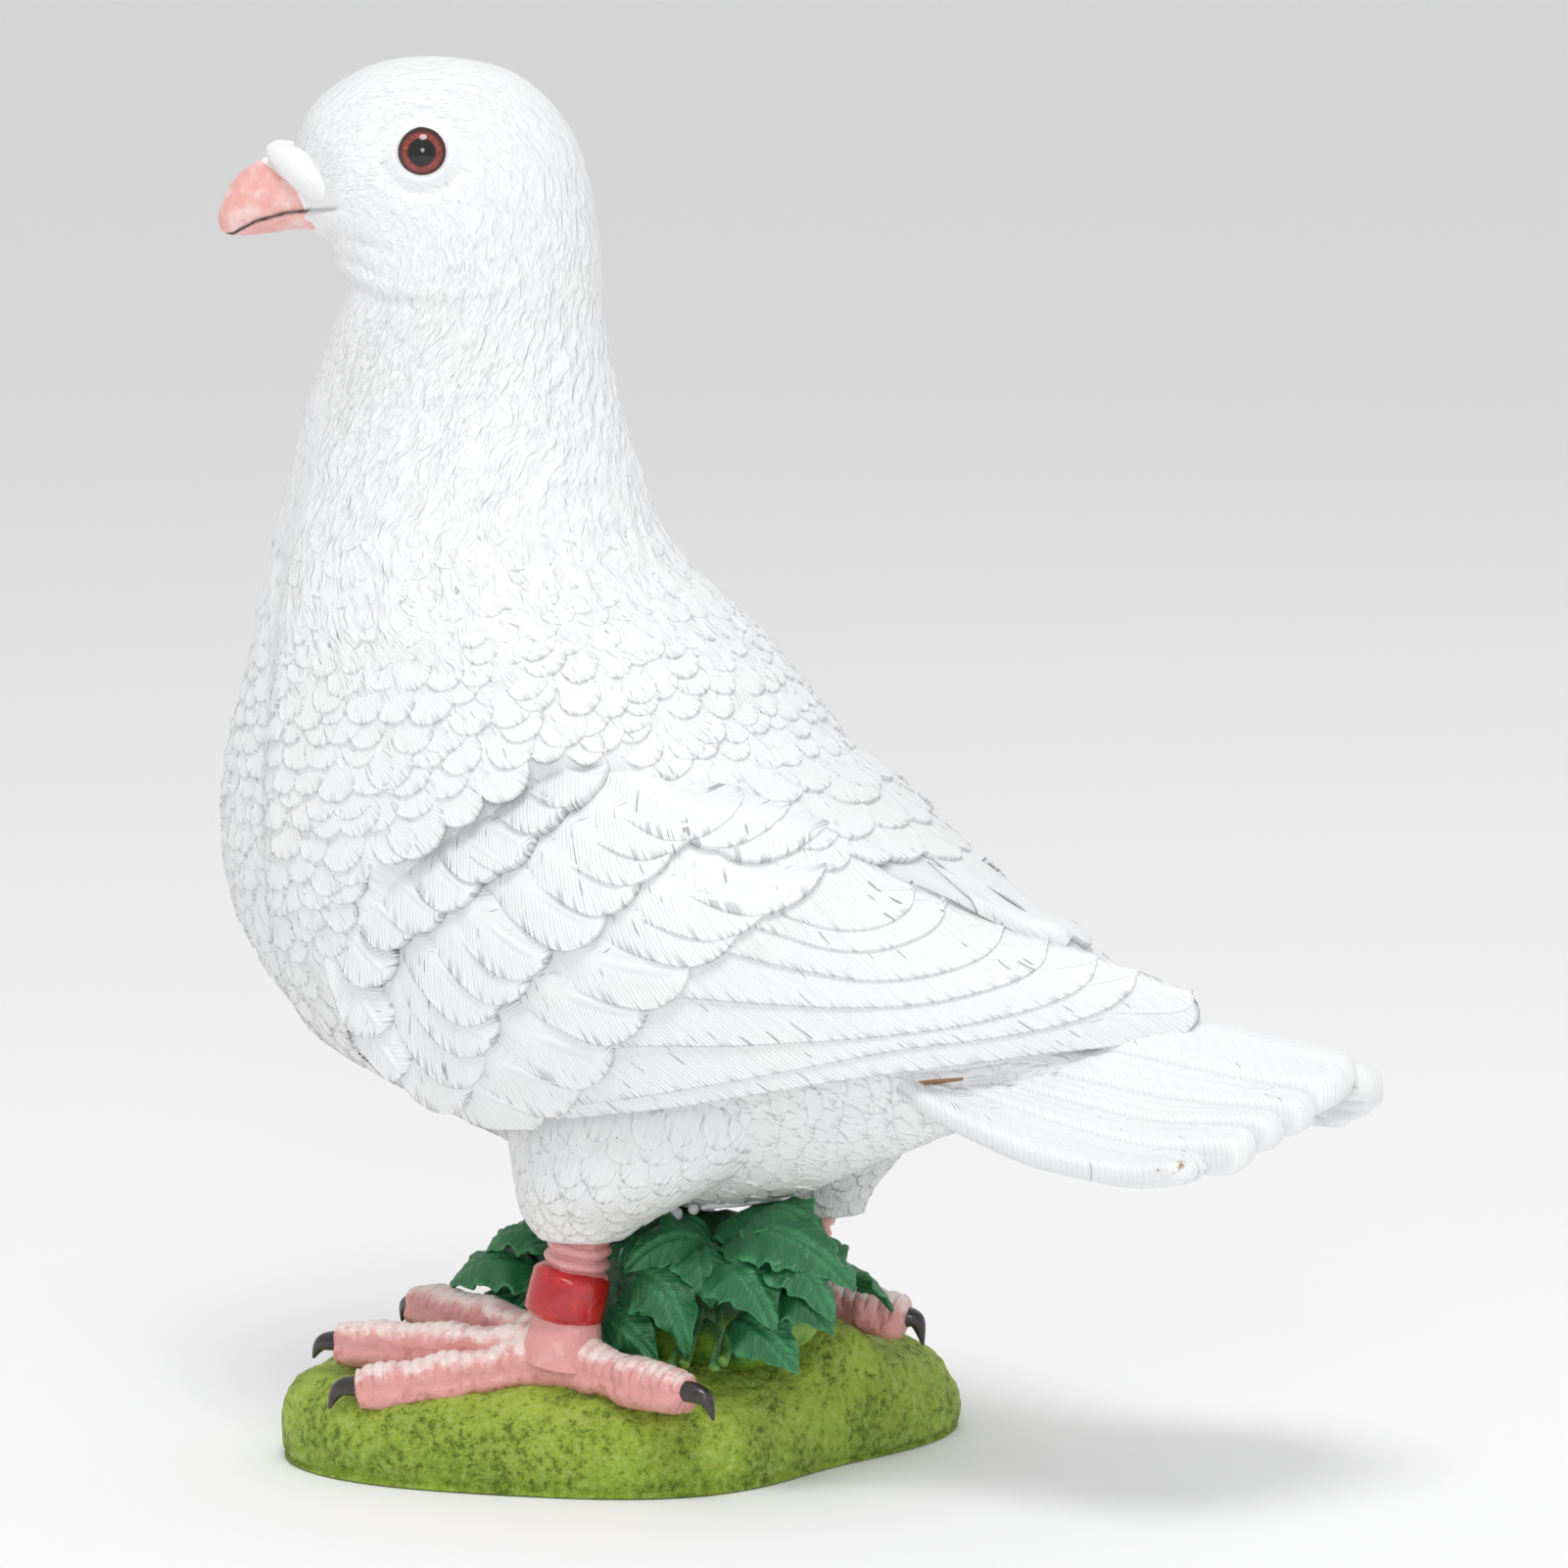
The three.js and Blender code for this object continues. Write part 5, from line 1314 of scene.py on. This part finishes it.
# Toes are tubes with swollen joints and, on their upper half, scutes as steps of the radius every 2.2 mm. Claws and
# shanks are tubes too, the shanks with folds round them.
def makeFeet():
    pile = Pile()
    kit = legs

    # how far a point lies on top of the toe, its share along its scute, and its place for the noise
    def scuteFrame(step, angle):
        place = np.stack(np.broadcast_arrays(step, 4 * np.cos(angle), 4 * np.sin(angle)), -1)
        return smooth(np.sin(angle), -0.25, 0.5), np.mod(step / 2.2, 1.0), place

    def scutes(step, angle, t):
        top, saw, place = scuteFrame(step, angle)
        joints = 0.35 * np.cos(2 * np.pi * t * 3) * smooth(t, 0.1, 0.3)
        lumps = 0.4 * cloud(place, 3.4, 11) + 0.22 * (1 - top) * cloud(place, 0.9, 12)
        skirt = 1.1 * smooth(-np.sin(angle), 0.1, 0.6)
        ridge = 0.5 * smooth(saw, 0, 0.25) - 0.35 * smooth(saw, 0.6, 1.0)
        return 0.75 * top * ridge - joints * 0.6 + lumps + skirt

    def scuteMarks(step, angle, t):
        top, saw, place = scuteFrame(step, angle)
        crease = (1 - smooth(saw, 0.0, 0.16)) + smooth(saw, 0.9, 1.0)
        pits = 0.7 * smooth(-cloud(place, 0.9, 12), 0.3, 0.7) * smooth(-np.sin(angle), 0.1, 0.5)
        # the third value is the share of paler pink, greater on the upper side
        return [top, crease * 0.6 * top + pits, 0.4 + 0.6 * smooth(np.sin(angle), 0.2, 0.9)]

    def folds(step, angle, t):
        place = np.stack(np.broadcast_arrays(step, 5 * np.cos(angle), 5 * np.sin(angle)), -1)
        wave = np.sin(step * 2 * np.pi / 2.5 + 0.7 * np.sin(angle))
        return 0.34 * wave * smooth(t, 0.45, 0.6) + 0.35 * cloud(place, 3.2, 13)

    def foldMarks(step, angle, t):
        wave = np.sin(step * 2 * np.pi / 2.5 + 0.7 * np.sin(angle))
        return [0.5 + 0 * t, smooth(-wave, 0.3, 0.9) * 0.7 * smooth(t, 0.45, 0.6), 0.45 + 0 * t]

    for number, lift in enumerate((0, kit["lift"])):
        foot, toes = kit[("left", "right")[number]], kit[("leftToes", "rightToes")[number]]
        side = np.sign(foot[0])
        place = lambda p: np.asarray(p, float) * [side, -1, 1] + [foot[0], foot[1], 0]
        toe = kit["toe"]
        for path, claw in toes:
            tube(pile, place(path), [toe + 1.1, toe, toe, toe - 0.7], 90, 40, dent=scutes, finish=scuteMarks)
            path = np.array(path)
            start = mixed(path[-2], path[-1], 0.8)
            knee = mixed(start, np.array(claw), np.array([0.62, 0.72, 0.16]))
            size = kit["claw"]
            tube(pile, place([start, knee, claw]), [size + 0.5, size, 0.25], 30, 20, look=1)
        middle, slope = kit["lean"][number]
        shank = [[foot[0], middle + slope * (z - 34), z] for z in (21, 29, 37, 45.5 + lift)]
        size = kit["shank"][number]
        tube(pile, np.array(shank), [size + 2.2, size + 0.3, size - 0.1, size], 80, 56, dent=folds, finish=foldMarks)
    return pile.make("legs_and_feet", "dove", [skin, clawBlack])


def makeBand():
    x, y = legs["left"]
    pile = Pile()
    size = legs["band"]

    def softEdge(step, angle, t):
        edge = 1 - smooth(np.minimum(t, 1 - t), 0, 0.16)
        return 0.35 * np.sin(np.pi * t) - edge + 0.14 * np.sin(2 * angle + 4 * t)

    path = np.linspace([x + 0.7, y - 0.1, 28.6], [x - 0.1, y + 1.7, 37.2], 4)
    tube(pile, path, [size, size, size], 40, 72, dent=softEdge)
    return pile.make("leg_band", "dove", [bandRed])


# Two beads and a fine ridge where the belly meets the leaves
def makeJoint():
    pile = Pile()
    for middle, size in (((14, 16, 46), 1.25), ((13.4, 19.1, 47), 1.0)):
        path = np.array(middle) + np.linspace(-0.8, 0.8, 9)[:, None] * [0, size, 0]
        tube(pile, path, size * np.sqrt(1 - np.linspace(-0.8, 0.8, 9) ** 2), 14, 16)
    ridge = [[13, 20.5, 47.3], [13, 24.8, 48.2], [12, 29.3, 48.8], [10, 33.9, 49.4]]
    tube(pile, ridge, [0.5, 0.6, 0.5, 0.4], 40, 10)
    return pile.make("joint_beads", "dove", [white])


mound = {
    "centre": (-9.3, -5.4), "radius": 49.4, "shift": (3.2, 1.8), "skew": 9.4, "lobe": 2.9, "corner": 2.8,
    "tussock": 8.0, "sides": 400,
    # shares of the radius and heights, from the middle of the underside round to the middle of the top
    "profile": [
        (0.0, 0), (0.5, 0), (0.955, 0.0), (0.985, 1.2), (1.0, 4), (0.99, 9),
        (0.955, 12.8), (0.86, 16), (0.66, 18.6), (0.36, 20.2), (0.16, 20.6), (0.0, 20.7),
    ],
}


# The mound: radius(angle) times a profile of shares and heights, with its grain as noise along the outward normal
def makeMound():
    kit = mound
    pile = Pile()
    sides = kit["sides"]
    knots = np.array(kit["profile"], float)
    fine = np.concatenate([np.linspace(0.02, 2 / 11, 6), np.linspace(2 / 11, 1, 140)[1:-1]])

    def point(t, angle):
        t, angle = np.broadcast_arrays(t, angle)
        row = through(knots, t)
        share, z = row[..., 0], np.maximum(row[..., 1], 0)
        radius = (
            kit["radius"] + kit["shift"][0] * np.cos(angle) + kit["shift"][1] * np.sin(angle)
            - kit["skew"] * np.sin(2 * angle) + kit["lobe"] * np.sin(3 * angle) - kit["corner"] * np.cos(4 * angle)
        )
        x = kit["centre"][0] + share * radius * np.cos(angle)
        y = kit["centre"][1] + share * radius * np.sin(angle)
        low = 1 - 0.26 * smooth(0.91 * y - 0.41 * x, 25, 62) * (1 - smooth(z, 9, 20))
        tussock = kit["tussock"] * np.exp(-((x + 13) / 10) ** 2 - ((y - 35) / 10) ** 2) * smooth(z, 6, 15)
        return np.stack([x, y, z * low + tussock], -1)

    surface = Surface(point, (1e-4, 1e-3), -1)
    angle = np.linspace(0, 2 * np.pi, sides, endpoint=False)
    t, angle = np.meshgrid(fine, angle, indexing="ij")
    base = point(t, angle)
    grain = 0.25 * cloud(base, 4.5, 1) + 0.40 * cloud(base, 2.2, 2) + 0.2 * cloud(base, 1.4, 3)
    lumps = 0.7 * cloud(base, 13.0, 4)
    amount = smooth(base[..., 2], 0.3, 2.0)
    # the noise dies away at the middle, where the rows run together under the leaves
    amount = amount * (1 - 0.85 * smooth(t, 0.93, 1.0))
    points = surface.raised(t, angle, (grain + lumps) * amount)
    points[..., 2] = np.maximum(points[..., 2], 0)
    ends = [point(np.array(0.0), np.array(0.0)), points[-1].mean(0)]
    pit = np.clip(0.5 - grain / 0.9, 0, 1) * amount
    finish = np.stack([pit, smooth(base[..., 2], 0, 11), 0 * pit], -1).reshape(-1, 3)
    finish = np.concatenate([finish, [[0, 0, 0], [0.3, 1, 0]]])
    faces = ringFaces(len(fine), sides, over=False)
    pile.add(np.concatenate([points.reshape(-1, 3), ends]), faces, None, finish)
    return pile.make("grassy_base", "grass_mound", [grass])


foliage = {
    "fold": 0.3, "thick": 1.5, "middle": (0, 10, 24),
    # root, a point half way and tip of each leaf, and its width
    "leaves": [
        ((14, 24, 39.7), (20, 18.2, 43.1), (22, 9.6, 36.6), 10),
        ((17, 6.8, 34.4), (25, 18, 35.5), (24, 22.8, 23.2), 10.5),
        ((15, 1.1, 27.8), (22, 9.2, 28), (23, 16.7, 21.6), 9),
        ((18, 25.2, 38.8), (27, 34.8, 39.4), (26, 40.2, 29.5), 11),
        ((18, 28.9, 29.8), (25, 37.5, 29.1), (23, 43.3, 21.7), 9),
        ((12, 28, 44.2), (19, 38.3, 49.6), (20, 46.8, 44.2), 10),
        ((15, 26.9, 43), (25, 42.4, 46.2), (20, 52.5, 36.5), 10.5),
        ((18, 36.2, 40.2), (26, 45.2, 41.2), (22, 49.5, 30.7), 9),
        ((8, 20, 42.4), (12, 29.3, 47.2), (12, 37.2, 47.4), 9),
        ((14, 20.3, 41.1), (23, 25.4, 40), (22, 26.4, 31.7), 9),
        ((14, 1.7, 24.3), (20, 8.2, 23.6), (20, 13.2, 20.6), 7),
        ((12, 14, 38), (17, 8, 41.5), (17, 2.5, 37.5), 8),
        ((14, 30, 33), (22, 42, 35.5), (20, 48.4, 28.5), 9),
        ((10, 32, 40), (16, 44, 42), (14, 50, 35.5), 9),
        ((6, -8.9, 35.1), (10, -15.3, 40.8), (10, -22.9, 35.5), 9.5),
        ((6, -8.9, 30.5), (12, -19.4, 35.6), (10, -30.3, 28.3), 10.5),
        ((5, -10.7, 26.7), (12, -18.1, 29.3), (12, -25.5, 24.4), 8.5),
        ((0, -12.5, 31.5), (0, -18.9, 38), (-3, -28, 33.6), 9),
        ((-6, 12, 40), (-14, 12, 41), (-18, 4, 33), 10),
        ((-6, 2, 34), (-13, -5, 35), (-17, -12, 27), 10),
        ((-2, -10, 35), (-7, -19, 36), (-8, -26, 29), 9),
        ((-8, 20, 38), (-15, 26, 38), (-17, 34, 30), 10),
        ((-8, 14, 30), (-16, 18, 30), (-18, 24, 22), 9),
        ((-7, 30, 34), (-12, 38, 34), (-12, 46, 27), 9),
    ],
    # two ends of each stem in the open patch between the leaves
    "stems": [
        ((22, 21.5, 20.6), (14, 20.6, 30.2)), ((23, 26.9, 21.2), (15, 24.7, 29.9)), ((22, 29.1, 22.9), (14, 22.8, 28.7)),
        ((22, 19.7, 20.8), (15, 18.7, 25.3)),
    ],
}


# One leaf: a parabola through root, middle and tip. Its face looks away from the clump's middle. The half width is a
# sine arch that narrows to a point, the halves are folded back along the midrib, and the edges wave.
def addLeaf(pile, root, middle, tip, width, chance):
    kit = foliage
    rows, columns = 44, 21
    root, middle, tip = (np.array(corner, float) for corner in (root, middle, tip))
    over = 2 * middle - (root + tip) / 2
    s = np.linspace(0, 1, rows)[:, None]
    spine = root * (1 - s) ** 2 + over * 2 * s * (1 - s) + tip * s**2
    heading = unit(2 * (1 - s) * (over - root) + 2 * s * (tip - over))
    outward = unit((spine - kit["middle"]) * [1, 0.5, 0.9] + [0, 0, 3])
    normal = unit(outward - heading * dot(outward, heading)[:, None])
    across = np.cross(normal, heading)
    length = np.linalg.norm(np.diff(spine, axis=0), axis=1).sum()
    c = np.linspace(-1, 1, columns)[None, :]
    half = 0.62 * width * np.maximum(0.05, np.sin(np.pi * (0.14 + 0.86 * s) ** 0.85)) ** 0.85
    lobes = 1 + 0.09 * np.sin(2 * np.pi * (s * length / 4.6 + chance)) * np.abs(c) ** 2
    aside = half * c * lobes
    wave = 0.8 * np.sin(2 * np.pi * (s * length / 7.0 + chance + 0.25 * np.sign(c))) * np.abs(c) ** 2.5
    height = -kit["fold"] * half * np.abs(c) ** 1.5 + wave * smooth(half, 0.5, 3)
    height = height - 0.35 * np.exp(-(aside / 0.5) ** 2) + 0.22 * np.exp(-((np.abs(aside) - 1.1) / 0.5) ** 2)
    phase = s * length - 1.1 * np.abs(aside)
    height = height + np.sin(2 * np.pi * phase / 2.6 + 5 * chance) * 0.2 * smooth(np.abs(aside), 0.6, 1.6)
    top = spine[:, None] + across[:, None] * aside[..., None] + normal[:, None] * height[..., None]
    thick = kit["thick"] * (0.3 + 0.7 * (1 - np.abs(c) ** 4)) * (0.4 + 0.6 * (1 - s**6))
    below = top - normal[:, None] * thick[..., None]
    stroke = np.stack([phase, np.abs(aside), 0 * aside + 9 * chance], -1)
    # painted highlight along the rim and on the ridges beside the midrib
    pale = 0.8 * smooth(np.abs(c), 0.8, 1.0) + 0.5 * np.exp(-((np.abs(aside) - 0.9) / 0.5) ** 2)
    # painted shade towards the root, deep in the clump
    shade = 0.6 * (1 - smooth(s, 0.0, 0.3)) + 0 * aside
    lime = smooth(22.0 - top[..., 2], -1.0, 1.5) * smooth(s, 0.7, 1.0)
    finish = np.stack([np.clip(pale, 0, 1), shade, lime], -1)
    # the underside has no painted highlight and more painted shade
    pile.slab(top, below, stroke, finish, finish * [0, 1, 1] + [0, 0.3, 0])


def makeLeaves():
    pile = Pile()
    # the core that carries the leaves, a lumpy ellipsoid
    la, lo = ballAngles(40, 64)
    ball = np.stack([np.sin(la) * np.cos(lo), np.sin(la) * np.sin(lo), np.cos(la)], -1)
    core = ball * [12.0, 29.2, 15.8] + [0, 8, 29.6]
    core = core + ball * (0.9 * cloud(core, 4.0, 8) + 0.5 * cloud(core, 1.8, 9))[..., None]
    low = np.concatenate([core.reshape(-1, 3), [[0, 8, 45.2], [0, 8, 13.8]]])
    # painted shade over the whole core, which lies deep inside the clump
    shade = np.tile([0.0, 0.75, 0.0], (len(low), 1))
    shade[:, 2] = smooth(27 + 0.2 * (low[:, 1] - 20) - low[:, 2], -3, 3)
    pile.add(low, ringFaces(40, 64), low, shade)
    for number, (root, middle, tip, width) in enumerate(foliage["leaves"]):
        addLeaf(pile, root, middle, tip, width, 0.37 * number)
    # stems with a little painted shade and lime towards the lower end
    for low, high in foliage["stems"]:
        path = np.linspace(low, high, 4) + dice.normal(0, 0.5, (4, 3))
        tube(pile, path, [1.1, 0.8, 0.7, 0.6], 16, 10, finish=lambda step, angle, t: [0 * t, 0.3 + 0 * t, 0.8 * (1 - t)])
    return pile.make("foliage", "leaf_clump", [leaves])


makeSkin()
makeScales()
makeWing(1, "left_wing")
makeWing(-1, "right_wing")
makeBack()
makeTail()
makeBeak()
makeEye(1, "left_eye")
makeEye(-1, "right_eye")
makeThighs()
makeFeet()
makeBand()
makeJoint()
makeMound()
makeLeaves()
print("all pieces made")


def makeFloor():
    paint = Paint("floor_paper")
    place = paint.place()
    patch = paint.noise(place, 3.0, 2.0)
    material = paint.finish(patch, 0.02, {"Base Color": light["floor"], "Roughness": 0.85})
    mesh = bpy.data.meshes.new("floor")
    mesh.from_pydata([(-60, -60, 0), (60, -60, 0), (60, 60, 0), (-60, 60, 0)], [], [(0, 1, 2, 3)])
    mesh.materials.append(material)
    floor = bpy.data.objects.new("floor", mesh)
    scene.collection.objects.link(floor)
    floor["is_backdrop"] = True


# A soft box of light aimed at the dove
def softBox(name, place, size, power):
    lamp = bpy.data.lights.new(name, "AREA")
    lamp.shape, lamp.size, lamp.energy = "DISK", size, power
    thing = bpy.data.objects.new(name, lamp)
    thing.location = place
    thing.rotation_euler = (Vector(view["middle"]) - Vector(place)).to_track_quat("-Z", "Y").to_euler()
    scene.collection.objects.link(thing)


makeFloor()
softBox("key_light", (0.75, 0.35, 1.7), 0.7, light["key"])
softBox("front_light", (1.15, 0.50, 0.50), 0.32, light["front"])
softBox("rim_light", (-1.3, 0.3, 1.2), 1.2, light["rim"])

world = bpy.data.worlds.new("studio")
world.use_nodes = True
sky = world.node_tree.nodes["Background"]
sky.inputs["Color"].default_value = (1.0, 1.0, 1.0, 1)
sky.inputs["Strength"].default_value = light["sky"]
scene.world = world
scene.view_settings.view_transform = "Standard"

lens = bpy.data.cameras.new("photo_camera")
lens.sensor_width = 36
lens.lens = view["lens"]
camera = bpy.data.objects.new("photo_camera", lens)
camera.location = Vector(view["middle"]) + Vector(view["back"]) * view["distance"]
camera.rotation_euler = (Vector(view["middle"]) - camera.location).to_track_quat("-Z", "Y").to_euler()
scene.collection.objects.link(camera)
scene.camera = camera
print("floor, light and camera set")

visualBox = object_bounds()
plain = lambda corners: [[float(value) for value in corner] for corner in corners]
{"solids": plain(solidBox), "visual": plain(visualBox)}
print("visual box", plain(visualBox), "solid box", plain(solidBox))
